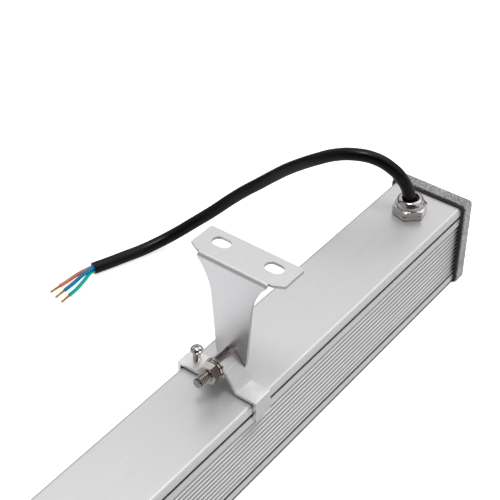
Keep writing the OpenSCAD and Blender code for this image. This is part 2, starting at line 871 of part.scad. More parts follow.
module gland_body() {
    color(nickel)
        at_gland(0)
            difference() {
                union() {
                    translate([0, 0, gland_flange_z])
                        hexagon(gland_flats, gland_hex_h, gland_chamfer/2);
                    translate([0, 0, bar_h - gland_shank_len])
                        cylinder(r = gland_shank_r, h = gland_shank_len + gland_seal_t + gland_hex_h/2);
                }
                translate([0, 0, bar_h - gland_shank_len - cut])
                    cylinder(r = gland_bore_r, h = gland_shank_len + gland_seal_t + gland_hex_h + 2*cut);
            }
}

module gland_lock_nut() {
    color(nickel)
        at_gland(ceiling_z - lock_nut_t)
            difference() {
                hexagon(gland_flats + 2*fit_gap, lock_nut_t, gland_chamfer/2);
                translate([0, 0, -cut])
                    cylinder(r = gland_hole_r, h = lock_nut_t + 2*cut);
            }
}

module gland_insert() {
    color(black_rubber)
        at_gland(gland_nut_z)
            difference() {
                cylinder(r = insert_r, h = insert_h);
                translate([0, 0, -cut])
                    cylinder(r = insert_bore_r, h = insert_h + 2*cut);
            }
}

// Dome nut: a hexagon with a bulging dome on it, bored for the rubber insert
module gland_dome_nut() {
    lip_r = mouth_r + dome_lip;
    bulge = dome_r - lip_r;
    color(nickel)
        at_gland(gland_nut_z)
            difference() {
                union() {
                    rotate([0, 0, dome_nut_turn])
                        hexagon(gland_flats, nut_hex_h, gland_chamfer);
                    translate([0, 0, nut_hex_h])
                        cylinder(r = lip_r, h = dome_h);
                    // The bulge is a quarter of an oval, upright at the hexagon and level at the lip
                    translate([0, 0, nut_hex_h])
                        rotate_extrude()
                            intersection() {
                                translate([lip_r, 0])
                                    scale([1, dome_h/bulge])
                                        circle(r = bulge);
                                square([dome_r, dome_h]);
                            }
                }
                translate([0, 0, -cut])
                    cylinder(r = mouth_r, h = nut_hex_h + dome_h + 2*cut);
            }
}

module cord_jacket() {
    color(black_rubber)
        tube(from_gland(cord_route), cord_d/2, cord_sides);
}

module core_brown() { color([0.62, 0.36, 0.22]) tube(from_gland(brown_route), core_d/2, core_sides); }
module core_blue() { color([0.20, 0.55, 0.70]) tube(from_gland(blue_route), core_d/2, core_sides); }
module core_earth() { color([0.55, 0.70, 0.25]) tube(from_gland(earth_route), core_d/2, core_sides); }

module core_copper() {
    color(copper)
        for (r = [from_gland(brown_route), from_gland(blue_route), from_gland(earth_route)])
            tube([r[len(r) - 1], tip_of(r)], copper_d/2, core_sides);
}

// Right half of the clip: leg with its hook, flat strap and the slope up to the bolt channel
module clip_half() {
    // Leg, with a small round on its outer upper edge
    translate([leg_inner, leg_bottom_z])
        square([clip_t, strap_top_z - leg_edge_r - leg_bottom_z]);
    translate([leg_outer - leg_edge_r, strap_top_z - leg_edge_r])
        circle(r = leg_edge_r);
    translate([hook_tip, hook_z - hook_t/2])
        square([leg_inner - hook_tip + clip_t/2, hook_t]);
    translate([hump_half - clip_t/2, strap_z])
        square([leg_outer - leg_edge_r - hump_half + clip_t/2, clip_t]);
    translate([leg_inner, strap_z])
        square([clip_t, clip_t - leg_edge_r]);
    // Slope of the hump, as thick as the strap
    outer_low = [hump_half, strap_top_z];
    outer_high = outer_low + slope_run*slope_dir;
    inner_high = outer_high + clip_t*slope_in;
    // Height of the slope's inner face at the strap's underside
    inner_low = outer_low + clip_t*slope_in;
    drop = (inner_low[1] - strap_z)/slope_dir[1];
    polygon([outer_low, outer_high, inner_high, inner_low - drop*slope_dir, [hump_half, strap_z]]);
}

module clip_profile() {
    difference() {
        union() {
            clip_half();
            mirror([1, 0])
                clip_half();
            translate([0, bolt_z])
                circle(r = channel_r);
        }
        translate([0, bolt_z])
            circle(r = channel_bore_r);
        translate([-channel_half, bolt_z])
            square([2*channel_half, channel_r + cut]);
    }
}

module clip() {
    difference() {
        along_bar(clip_len)
            clip_profile();
        translate([-lock_screw_x, lock_screw_shift, strap_z - cut])
            cylinder(r = lock_screw_r + hole_gap/2, h = clip_t + 2*cut);
    }
}

// Pan-head screw that stands on the bar and presses the clip's hooks up against their grooves
module lock_screw() {
    tip_z = bar_h + hole_gap;
    edge = lock_head_h/3;
    crown_h = lock_head_h - edge;
    crown_r = (lock_head_r*lock_head_r + crown_h*crown_h)/(2*crown_h);
    translate([-lock_screw_x, lock_screw_shift, tip_z]) {
        cylinder(r = lock_screw_r, h = lock_screw_len + edge);
        translate([0, 0, lock_screw_len])
            intersection() {
                cylinder(r = lock_head_r, h = lock_head_h + cut);
                translate([0, 0, lock_head_h - crown_r])
                    sphere(r = crown_r);
            }
    }
}

// Points a piece drawn along +Z down the bolt's axis, towards -Y, from a place on that axis
module on_bolt(y) {
    translate([0, y, bolt_z])
        rotate([90, 0, 0])
            children();
}

nut_face_y = -clip_len/2 - washer_t - spring_washer_t;
bolt_chamfer = 0.5*(bolt_flats/sqrt(3) - bolt_flats/2);

module pivot_bolt() {
    on_bolt(bolt_head_y + bolt_head_h)
        hexagon(bolt_flats, bolt_head_h, bolt_chamfer);
    on_bolt(bolt_head_y)
        cylinder(r = bolt_r, h = bolt_len);
}

module pivot_nut() {
    on_bolt(nut_face_y)
        difference() {
            rotate([0, 0, nut_turn])
                hexagon(bolt_flats, nut_h, bolt_chamfer);
            translate([0, 0, -cut])
                cylinder(r = bolt_r + hole_gap, h = nut_h + 2*cut);
        }
}

module washer(y, r, t) {
    on_bolt(y)
        difference() {
            cylinder(r = r, h = t);
            translate([0, 0, -cut])
                cylinder(r = bolt_r + hole_gap, h = t + 2*cut);
        }
}

module spring_washer() {
    split_w = spring_washer_t/2;
    difference() {
        washer(-clip_len/2 - washer_t, spring_washer_r, spring_washer_t);
        translate([0, -clip_len/2 - washer_t - spring_washer_t - cut, bolt_z - split_w/2])
            cube([spring_washer_r + cut, spring_washer_t + 2*cut, split_w]);
    }
}

module flat_washers() {
    washer(-clip_len/2, washer_r, washer_t);
    washer(head_washer_y + washer_t, washer_r, washer_t);
}

// Upright web of a bracket, drawn in X and Z
module web_profile() {
    difference() {
        union() {
            translate([0, bolt_z])
                circle(r = neck_half);
            polygon([
                [-neck_half, bolt_z], [neck_half, bolt_z],
                [shoulder_half, shoulder_z], [-shoulder_half, shoulder_z]
            ]);
            difference() {
                span(bend_w/2, shoulder_z, web_top_z);
                for (s = [-1, 1])
                    translate([s*shoulder_centre[0], shoulder_centre[1]])
                        circle(r = shoulder_r);
            }
        }
        translate([0, bolt_z])
            circle(r = bolt_r + pivot_gap);
    }
}

// Slot along X with round ends
module slot() {
    reach = (slot_len - slot_w)/2;
    for (s = [-1, 1])
        translate([s*reach, 0])
            circle(r = slot_w/2);
    translate([-reach, -slot_w/2])
        square([2*reach, slot_w]);
}

// Foot plate drawn in X and Y, with Y from the web's near face
module foot_profile() {
    difference() {
        polygon([
            [-foot_root_w/2, bend_r], [foot_root_w/2, bend_r], [foot_w/2, foot_corner],
            [foot_w/2, foot_depth - foot_corner_r], [foot_w/2 - foot_corner_r, foot_depth],
            [-foot_w/2 + foot_corner_r, foot_depth], [-foot_w/2, foot_depth - foot_corner_r],
            [-foot_w/2, foot_corner]
        ]);
        for (s = [-1, 1])
            translate([s*slot_spacing/2, slot_back])
                slot();
    }
    for (s = [-1, 1])
        translate([s*(foot_w/2 - foot_corner_r), foot_depth - foot_corner_r])
            circle(r = foot_corner_r);
}

module foot_bracket() {
    from_place(web_near, sheet_t)
        web_profile();
    translate([0, web_near, foot_top_z - sheet_t])
        linear_extrude(height = sheet_t)
            foot_profile();
    // Quarter bend from the web's outer face to the foot plate's top
    translate([-bend_w/2, web_near + bend_r, web_top_z])
        rotate([90, 0, 90])
            intersection() {
                difference() {
                    cylinder(r = bend_r, h = bend_w);
                    translate([0, 0, -cut])
                        cylinder(r = bend_r - sheet_t, h = bend_w + 2*cut);
                }
                translate([-bend_r - cut, 0, -cut])
                    cube([bend_r + cut, bend_r + cut, bend_w + 2*cut]);
            }
}

// Puts a clip and what it carries at its place near either end of the bar
module at_clip(far) {
    rotate([0, 0, far ? 180 : 0])
        translate([0, clip_y, 0])
            children();
}

module clip_near() { color(anodised) at_clip(false) clip(); }
module lock_screw_near() { color(steel) at_clip(false) lock_screw(); }
module pivot_bolt_near() { color(steel) at_clip(false) pivot_bolt(); }
module pivot_nut_near() { color(steel) at_clip(false) pivot_nut(); }
module spring_washer_near() { color(steel) at_clip(false) spring_washer(); }
module flat_washers_near() { color(steel) at_clip(false) flat_washers(); }
module foot_bracket_near() { color([0.78, 0.78, 0.79]) at_clip(false) foot_bracket(); }

module clip_far() { color(anodised) at_clip(true) clip(); }
module lock_screw_far() { color(steel) at_clip(true) lock_screw(); }
module pivot_bolt_far() { color(steel) at_clip(true) pivot_bolt(); }
module pivot_nut_far() { color(steel) at_clip(true) pivot_nut(); }
module spring_washer_far() { color(steel) at_clip(true) spring_washer(); }
module flat_washers_far() { color(steel) at_clip(true) flat_washers(); }
module foot_bracket_far() { color([0.78, 0.78, 0.79]) at_clip(true) foot_bracket(); }

housing();
glass_cover();
glass_seal();
led_board();
led_packages();
lenses();
board_screws();
driver_board();
driver_spacers();
driver_transformer();
driver_capacitors();
terminal_block();
inner_leads();
board_leads();
end_cap_near();
end_cap_far();
end_gasket_near();
end_gasket_far();
cap_screws();
gland_seal();
gland_body();
gland_lock_nut();
gland_insert();
gland_dome_nut();
cord_jacket();
core_brown();
core_blue();
core_earth();
core_copper();
clip_near();
lock_screw_near();
pivot_bolt_near();
pivot_nut_near();
spring_washer_near();
flat_washers_near();
foot_bracket_near();
clip_far();
lock_screw_far();
pivot_bolt_far();
pivot_nut_far();
spring_washer_far();
flat_washers_far();
foot_bracket_far();
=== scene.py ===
"""Looks of an outdoor linear wall washer light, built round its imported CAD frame.

The bar lies along Y on its glass side. Sizes are in millimetres until a piece is placed, and in
metres after.
"""

import logging
import math
from collections.abc import Callable, Iterable, Sequence
from dataclasses import dataclass, field
from enum import Enum
from functools import partial
from itertools import product

import bmesh
import bpy
from mathutils import Matrix, Vector


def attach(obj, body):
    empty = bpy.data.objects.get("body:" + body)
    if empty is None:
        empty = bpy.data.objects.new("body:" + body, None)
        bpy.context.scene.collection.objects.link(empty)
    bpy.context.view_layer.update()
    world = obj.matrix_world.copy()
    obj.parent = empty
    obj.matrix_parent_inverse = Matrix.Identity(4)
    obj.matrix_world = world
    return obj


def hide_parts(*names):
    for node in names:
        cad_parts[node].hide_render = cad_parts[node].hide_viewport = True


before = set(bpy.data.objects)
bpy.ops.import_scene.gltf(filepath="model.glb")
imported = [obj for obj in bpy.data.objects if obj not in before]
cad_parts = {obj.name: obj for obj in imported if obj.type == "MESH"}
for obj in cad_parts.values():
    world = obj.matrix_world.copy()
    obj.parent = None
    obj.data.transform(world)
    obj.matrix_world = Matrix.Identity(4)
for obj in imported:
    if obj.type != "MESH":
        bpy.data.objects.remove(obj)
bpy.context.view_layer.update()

LOG = logging.getLogger("wall_washer")
MM = 0.001
BAR = "light_bar"

Flat = tuple[float, float]
Point = tuple[float, float, float]
Colour = tuple[float, float, float]
Ring = Callable[[float], Flat]
Socket = bpy.types.NodeSocket


class Side(Enum):
    """Which of the bar's two ends a piece belongs to."""

    NEAR = "near"
    FAR = "far"

    @property
    def turn(self) -> Matrix:
        """The turn about the bar's middle that brings a near piece to this end."""
        return spin(180.0 if self is Side.FAR else 0.0)


class Boolean(Enum):
    """What is done with a tool's volume."""

    CUT = "DIFFERENCE"
    FUSE = "UNION"


def spin(degrees: float, axis: str = "Z") -> Matrix:
    """A turn about an axis through the origin."""
    return Matrix.Rotation(math.radians(degrees), 4, axis)


def arc(centre: Flat, radius: float, start: float, end: float, steps: int) -> list[Flat]:
    """Points on an arc, both its ends among them.

    Args:
        centre: The arc's centre.
        radius: Its radius.
        start: Angle of the first point in degrees.
        end: Angle of the last point in degrees.
        steps: Number of straight pieces.

    Returns:
        The points in order.
    """
    turns = (math.radians(start + (end - start) * i / steps) for i in range(steps + 1))
    return [(centre[0] + radius * math.cos(t), centre[1] + radius * math.sin(t)) for t in turns]


def circle(centre: Flat, radius: float, steps: int) -> list[Flat]:
    """Points all round a circle."""
    return arc(centre, radius, 0, 360, steps)[:-1]


def mirrored(half: Sequence[Flat]) -> list[Flat]:
    """A right half with its left half added, as one closed outline."""
    return [*half, *((-x, y) for x, y in reversed(half) if abs(x) > 1e-6)]


# ---- finishes


def grey(level: float) -> Colour:
    """An even grey."""
    return (level, level, level)


class Tree:
    """A material's or the world's nodes, with short calls that add and link them."""

    def __init__(self, owner: bpy.types.Material | bpy.types.World, shader: str,
                 output: str) -> None:
        """Starts with one shader that feeds the output.

        Args:
            owner: The material or world.
            shader: Kind of the shader node.
            output: Kind of the output node.
        """
        owner.use_nodes = True
        self.tree = owner.node_tree
        self.tree.nodes.clear()
        surface = self.add(output)
        self.shader = self.add(shader)
        self.link(self.shader.outputs[0], surface, "Surface")

    def add(self, kind: str, **values: float | Sequence[float]) -> bpy.types.Node:
        """Adds a node.

        Args:
            kind: Kind of the node, without its common first part.
            values: Numbers for its inputs; an underscore in a name stands for a space.

        Returns:
            The node.
        """
        node = self.tree.nodes.new(f"ShaderNode{kind}")
        self.fill(node, values)
        return node

    @staticmethod
    def fill(node: bpy.types.Node, values: dict[str, float | Sequence[float]]) -> None:
        """Sets a node's inputs; an underscore in a name stands for a space."""
        for name, value in values.items():
            node.inputs[name.replace("_", " ")].default_value = value

    def link(self, socket: Socket, node: bpy.types.Node, entry: str | int) -> None:
        """Links a socket to a node's input."""
        self.tree.links.new(socket, node.inputs[entry])

    def through(self, socket: Socket, node: bpy.types.Node, entry: str | int, leave: str) -> Socket:
        """Links a socket to a node's input and gives the node's output."""
        self.link(socket, node, entry)
        return node.outputs[leave]

    def spread(self, value: Socket, low: float, high: float, start: float = 0.3, end: float = 0.7,
               fade: str = "LINEAR") -> Socket:
        """Maps a value to a new range.

        Args:
            value: The value.
            low: What it becomes at the start.
            high: What it becomes at the end.
            start: The value that becomes the lowest.
            end: The value that becomes the highest.
            fade: How it runs between the two.

        Returns:
            The mapped value.
        """
        node = self.add("MapRange", From_Min=start, From_Max=end, To_Min=low, To_Max=high)
        node.interpolation_type = fade
        return self.through(value, node, "Value", "Result")

    def tint(self, value: Socket, stops: Sequence[tuple[float, Colour]]) -> Socket:
        """Colours along a value.

        Args:
            value: The value.
            stops: Places from 0 to 1, each with its colour.

        Returns:
            The colour.
        """
        node = self.add("ValToRGB")
        elements = node.color_ramp.elements
        while len(elements) < len(stops):
            elements.new(0.5)
        for element, (place, colour) in zip(elements, stops):
            element.position = place
            element.color = (*colour, 1.0)
        return self.through(value, node, "Fac", "Color")


class Graph(Tree):
    """The nodes of a material whose surface is one Principled shader."""

    def __init__(self, name: str) -> None:
        """Starts a material of that name."""
        self.material = bpy.data.materials.new(name)
        super().__init__(self.material, "BsdfPrincipled", "OutputMaterial")

    def set(self, **values: float | tuple) -> None:
        """Sets the shader's own sockets."""
        self.fill(self.shader, values)

    def feed(self, name: str, socket: Socket) -> None:
        """Links a socket to one of the shader's inputs."""
        self.link(socket, self.shader, name)

    def coords(self, scale: Point = (1.0, 1.0, 1.0), source: str = "Object") -> Socket:
        """Object coordinates in metres, or the piece's UV map, stretched along each axis."""
        mapping = self.add("Mapping", Scale=scale)
        return self.through(self.add("TexCoord").outputs[source], mapping, "Vector", "Vector")

    def noise(self, vector: Socket, scale: float, detail: float = 3.0,
              rough: float = 0.5) -> Socket:
        """Noise from 0 to 1 over a vector."""
        node = self.add("TexNoise", Scale=scale, Detail=detail, Roughness=rough)
        return self.through(vector, node, "Vector", "Fac")

    def cells(self, vector: Socket, scale: float) -> Socket:
        """Distance to the nearest of many scattered points."""
        return self.through(vector, self.add("TexVoronoi", Scale=scale), "Vector", "Distance")

    def sum(self, first: Socket, second: Socket, share: float) -> Socket:
        """Adds a share of one value to another.

        Args:
            first: The value that is taken whole.
            second: The value that is taken in part.
            share: That part.

        Returns:
            The sum.
        """
        node = self.add("Math")
        node.operation = "MULTIPLY_ADD"
        node.inputs[1].default_value = share
        self.link(first, node, 2)
        return self.through(second, node, 0, "Value")

    def bump(self, height: Socket, depth: float) -> None:
        """Gives the surface a relief of that depth in metres."""
        node = self.add("Bump", Distance=depth, Strength=1.0)
        self.feed("Normal", self.through(height, node, "Height", "Normal"))


@dataclass(frozen=True)
class Finish:
    """A named finish; each kind of finish builds its own material once."""

    name: str
    colour: Colour

    def build(self, graph: Graph) -> None:
        """Fills the material's node tree."""
        raise NotImplementedError

    def material(self) -> bpy.types.Material:
        """Gives the finish's material, which the first call makes.

        Returns:
            The material.
        """
        made = bpy.data.materials.get(self.name)
        if made is None:
            graph = Graph(self.name)
            self.build(graph)
            made = graph.material
        return made

    def shade(self, share: float) -> Colour:
        """The finish's colour made lighter or darker."""
        red, green, blue = (min(1.0, c * share) for c in self.colour)
        return (red, green, blue)

    def dapple(self, graph: Graph, value: Socket, dark: float, light: float) -> None:
        """Colours the surface between a darker and a lighter shade, along a noise."""
        stops = [(0.3, self.shade(dark)), (0.7, self.shade(light))]
        graph.feed("Base Color", graph.tint(value, stops))


@dataclass(frozen=True)
class DrawnMetal(Finish):
    """Satin metal with fine lines along one direction, left by a die, a saw or a brush."""

    stretch: Point = (2600.0, 14.0, 2600.0)
    roughness: float = 0.36
    relief: float = 0.000004
    cloud: float = 9.0
    grain: float = 2400.0
    wander: float = 0.3
    depth: float = 0.16
    metal: float = 1.0

    def build(self, graph: Graph) -> None:
        """Lines in colour, gloss and relief over a soft cloud of tone.

        Args:
            graph: The material's nodes.
        """
        lines = graph.noise(graph.coords(self.stretch), 1.0, 4.0, 0.6)
        cloud = graph.noise(graph.coords(), self.cloud)
        grain = graph.noise(graph.coords(), self.grain, 2.0)
        tone = graph.sum(graph.sum(graph.spread(cloud, 0.0, self.wander), lines, 1.0), grain, 0.25)
        stops = [(0.0, self.shade(1.0 - self.depth)), (1.0, self.shade(1.0 + 0.4 * self.depth))]
        graph.feed("Base Color", graph.tint(graph.spread(tone, 0.0, 1.0, 0.4, 1.0), stops))
        graph.feed("Roughness", graph.spread(lines, self.roughness - 0.05, self.roughness + 0.07))
        graph.set(Metallic=self.metal)
        graph.bump(graph.sum(lines, grain, 0.6), self.relief)


@dataclass(frozen=True)
class BrightMetal(Finish):
    """Polished or plated metal with faint handling marks."""

    roughness: float = 0.1
    marks: float = 0.06
    smears: float = 420.0
    grain: float = 3000.0
    relief: float = 0.000002

    def build(self, graph: Graph) -> None:
        """A clear metal whose gloss and tone wander a little.

        Args:
            graph: The material's nodes.
        """
        smear = graph.noise(graph.coords(), self.smears, 4.0, 0.6)
        self.dapple(graph, smear, 0.9, 1.05)
        graph.feed("Roughness", graph.spread(smear, self.roughness, self.roughness + self.marks))
        graph.set(Metallic=1.0)
        graph.bump(graph.noise(graph.coords(), self.grain, 2.0), self.relief)


@dataclass(frozen=True)
class SandCoat(Finish):
    """Painted casting with a fine sand texture."""

    grain: float = 800.0
    cloud: float = 60.0
    relief: float = 0.0003
    metal: float = 0.25

    def build(self, graph: Graph) -> None:
        """Small grains that stand out of the paint, with a painted highlight on their tops and
        painted shade between them.

        Args:
            graph: The material's nodes.
        """
        coords = graph.coords()
        grains = graph.cells(coords, self.grain)
        fine = graph.noise(coords, self.grain * 2.2, 3.0, 0.6)
        # the colour follows the grains of the relief: painted highlight on their tops and painted
        # shade between them, over a random cloud of tone
        tone = graph.sum(graph.sum(fine, grains, -0.5), graph.noise(coords, self.cloud), 0.3)
        stops = [(0.0, self.shade(0.35)), (0.5, self.colour), (1.0, self.shade(1.9))]
        graph.feed("Base Color", graph.tint(graph.spread(tone, 0.0, 1.0, 0.1, 0.7), stops))
        graph.feed("Roughness", graph.spread(fine, 0.4, 0.6))
        graph.set(Metallic=self.metal)
        graph.bump(graph.sum(fine, grains, -0.8), self.relief)


@dataclass(frozen=True)
class Moulded(Finish):
    """Plastic or rubber with a fine moulded skin."""

    roughness: float = 0.45
    cloud: float = 130.0
    grain: float = 1800.0
    relief: float = 0.00001
    gloss: float = 0.5

    def build(self, graph: Graph) -> None:
        """A skin with slight changes of tone and gloss.

        Args:
            graph: The material's nodes.
        """
        coords = graph.coords()
        cloud = graph.noise(coords, self.cloud, 4.0, 0.6)
        fine = graph.noise(coords, self.grain)
        self.dapple(graph, cloud, 0.86, 1.12)
        skin, low, high = graph.sum(cloud, fine, 0.4), self.roughness - 0.05, self.roughness + 0.08
        graph.feed("Roughness", graph.spread(skin, low, high, 0.4, 1.0))
        graph.set(Specular_IOR_Level=self.gloss)
        graph.bump(fine, self.relief)


@dataclass(frozen=True)
class StripedInsulation(Finish):
    """Two-coloured insulation, its stripes along the core."""

    second: Colour = (0.75, 0.68, 0.08)
    twist: float = 0.4
    grain: float = 900.0
    relief: float = 0.00002
    gloss: float = 0.2

    def build(self, graph: Graph) -> None:
        """Stripes that follow the UV map round the core, with a slow twist.

        Args:
            graph: The material's nodes.
        """
        split = graph.add("SeparateXYZ")
        graph.link(graph.coords(source="UV"), split, "Vector")
        wrap = graph.add("Math")
        wrap.operation = "FRACT"
        around = graph.sum(split.outputs["Y"], split.outputs["X"], self.twist)
        stops = [(0.0, self.colour), (0.66, self.colour), (0.7, self.second), (1.0, self.second)]
        graph.feed("Base Color", graph.tint(graph.through(around, wrap, 0, "Value"), stops))
        skin = graph.noise(graph.coords(), self.grain)
        graph.feed("Roughness", graph.spread(skin, 0.3, 0.42))
        graph.set(Specular_IOR_Level=self.gloss)
        graph.bump(skin, self.relief)


@dataclass(frozen=True)
class ClearPart(Finish):
    """Glass or clear acrylic."""

    ior: float = 1.5
    roughness: float = 0.02
    smears: float = 45.0

    def build(self, graph: Graph) -> None:
        """A clear body with faint smears on its face.

        Args:
            graph: The material's nodes.
        """
        smear = graph.noise(graph.coords(), self.smears, 4.0, 0.6)
        self.dapple(graph, smear, 0.98, 1.0)
        graph.feed("Roughness", graph.spread(smear, self.roughness, self.roughness + 0.05))
        graph.set(Transmission_Weight=1.0, IOR=self.ior)


@dataclass(frozen=True)
class Board(Finish):
    """Coated circuit board with faint tracks under its coat."""

    track: float = 260.0
    weave: float = 1600.0
    relief: float = 0.00003

    def build(self, graph: Graph) -> None:
        """Stepped tracks under a glossy coat.

        Args:
            graph: The material's nodes.
        """
        blocks = graph.cells(graph.coords((0.35, 1.0, 1.0)), self.track)
        edges = graph.spread(blocks, 0.0, 1.0, 0.28, 0.34)
        graph.feed("Base Color", graph.tint(edges, [(0.0, self.shade(0.82)), (1.0, self.colour)]))
        weave = graph.noise(graph.coords(), self.weave, 2.0)
        graph.feed("Roughness", graph.spread(weave, 0.28, 0.4))
        graph.bump(edges, self.relief)


class Palette:
    """Every finish of the light, under the piece that wears it."""

    extrusion = DrawnMetal("satin_anodised_extrusion", (0.80, 0.80, 0.805), (1500.0, 20.0, 1500.0),
                           roughness=0.43, depth=0.06, metal=0.7)
    # painted shade: the inside of the square grooves is coloured darker than the extrusion
    groove = DrawnMetal("painted_shade_groove_aluminium", grey(0.40), roughness=0.5)
    # painted highlight: the ridge tops between the flutes are coloured lighter than the extrusion
    ridge = DrawnMetal("painted_highlight_ridge_aluminium", (0.97, 0.97, 0.975), roughness=0.4)
    # painted shade: the fine line near the bottom is coloured near black
    line = DrawnMetal("painted_shade_line_aluminium", grey(0.06), roughness=0.5)
    # painted shade: the hollows of the flutes are coloured darker than the extrusion
    flute = DrawnMetal("painted_shade_flute_aluminium", (0.51, 0.51, 0.515), roughness=0.4)
    clip = DrawnMetal("sawn_clip_aluminium", (0.955, 0.955, 1.0), (60.0, 60.0, 1600.0),
                      roughness=0.38, relief=0.000006, cloud=60.0, depth=0.2)
    sheet = DrawnMetal("satin_bracket_sheet", (0.88, 0.88, 0.89), (700.0, 900.0, 900.0),
                       roughness=0.34, relief=0.000003, cloud=40.0, depth=0.05)
    sheared = DrawnMetal("sheared_sheet_edge", (0.66, 0.66, 0.665), (300.0, 900.0, 900.0),
                         roughness=0.45)
    cap = SandCoat("sand_textured_casting", grey(0.40))
    steel = BrightMetal("bright_steel_fastener", (0.70, 0.665, 0.645), roughness=0.08)
    bolt_end = BrightMetal("dull_bolt_end", (0.50, 0.48, 0.475), roughness=0.25)
    # painted shade: the thread roots are coloured near black so that the rings show
    root = BrightMetal("painted_shade_thread_root", (0.05, 0.04, 0.035), roughness=0.3)
    nickel = BrightMetal("bright_nickel_plate", (0.62, 0.60, 0.59), roughness=0.05)
    channel = BrightMetal("shaded_bolt_channel", (0.10, 0.095, 0.10), roughness=0.4)
    copper = BrightMetal("bare_copper_strand", (0.86, 0.50, 0.11), roughness=0.3, marks=0.12)
    jacket = Moulded("soft_black_jacket", (0.002, 0.002, 0.0022), roughness=0.27, grain=900.0,
                     relief=0.00002, gloss=0.26)
    brown = Moulded("brown_core_skin", (0.78, 0.24, 0.16), roughness=0.4, grain=1400.0,
                    relief=0.00002, gloss=0.35)
    blue = Moulded("blue_core_skin", (0.0, 0.29, 0.62), roughness=0.38, grain=1400.0,
                   relief=0.00002, gloss=0.15)
    earth = StripedInsulation("green_yellow_core_skin", (0.0, 0.46, 0.36), (0.80, 0.62, 0.02))
    rubber = Moulded("dull_black_rubber", (0.022, 0.022, 0.024), roughness=0.6)
    silicone = Moulded("pale_grey_silicone", (0.6, 0.61, 0.61), roughness=0.5)
    phosphor = Moulded("yellow_phosphor", (0.85, 0.6, 0.1), roughness=0.5)
    nylon = Moulded("white_nylon", (0.78, 0.78, 0.75), roughness=0.45)
    tape = Moulded("yellow_core_tape", (0.66, 0.44, 0.05), roughness=0.3)
    sleeve = Moulded("dark_shrink_sleeve", (0.02, 0.025, 0.05), roughness=0.28)
    terminal = Moulded("green_terminal_nylon", (0.03, 0.22, 0.07), roughness=0.4)
    leads = Moulded("inner_lead_skin", (0.28, 0.08, 0.05), roughness=0.36)
    glass = ClearPart("toughened_front_glass", (0.90, 0.96, 0.95), ior=1.52)
    lens = ClearPart("clear_acrylic_lens", (0.97, 0.98, 0.98), ior=1.49)
    white_board = Board("white_light_board", (0.82, 0.83, 0.82))
    green_board = Board("green_driver_board", (0.03, 0.17, 0.07), track=420.0)


# ---- shapes


def shown(name: str, data: bpy.types.ID) -> bpy.types.Object:
    """Makes an object and puts it in the scene.

    Args:
        name: Its name.
        data: Its mesh, curve, camera or light.

    Returns:
        The object.
    """
    thing = bpy.data.objects.new(name, data)
    bpy.context.scene.collection.objects.link(thing)
    return thing


def final_mesh(thing: bpy.types.Object) -> bpy.types.Mesh:
    """A new mesh of an object, with its curve or its modifiers worked out."""
    graph = bpy.context.evaluated_depsgraph_get()
    return bpy.data.meshes.new_from_object(thing.evaluated_get(graph))


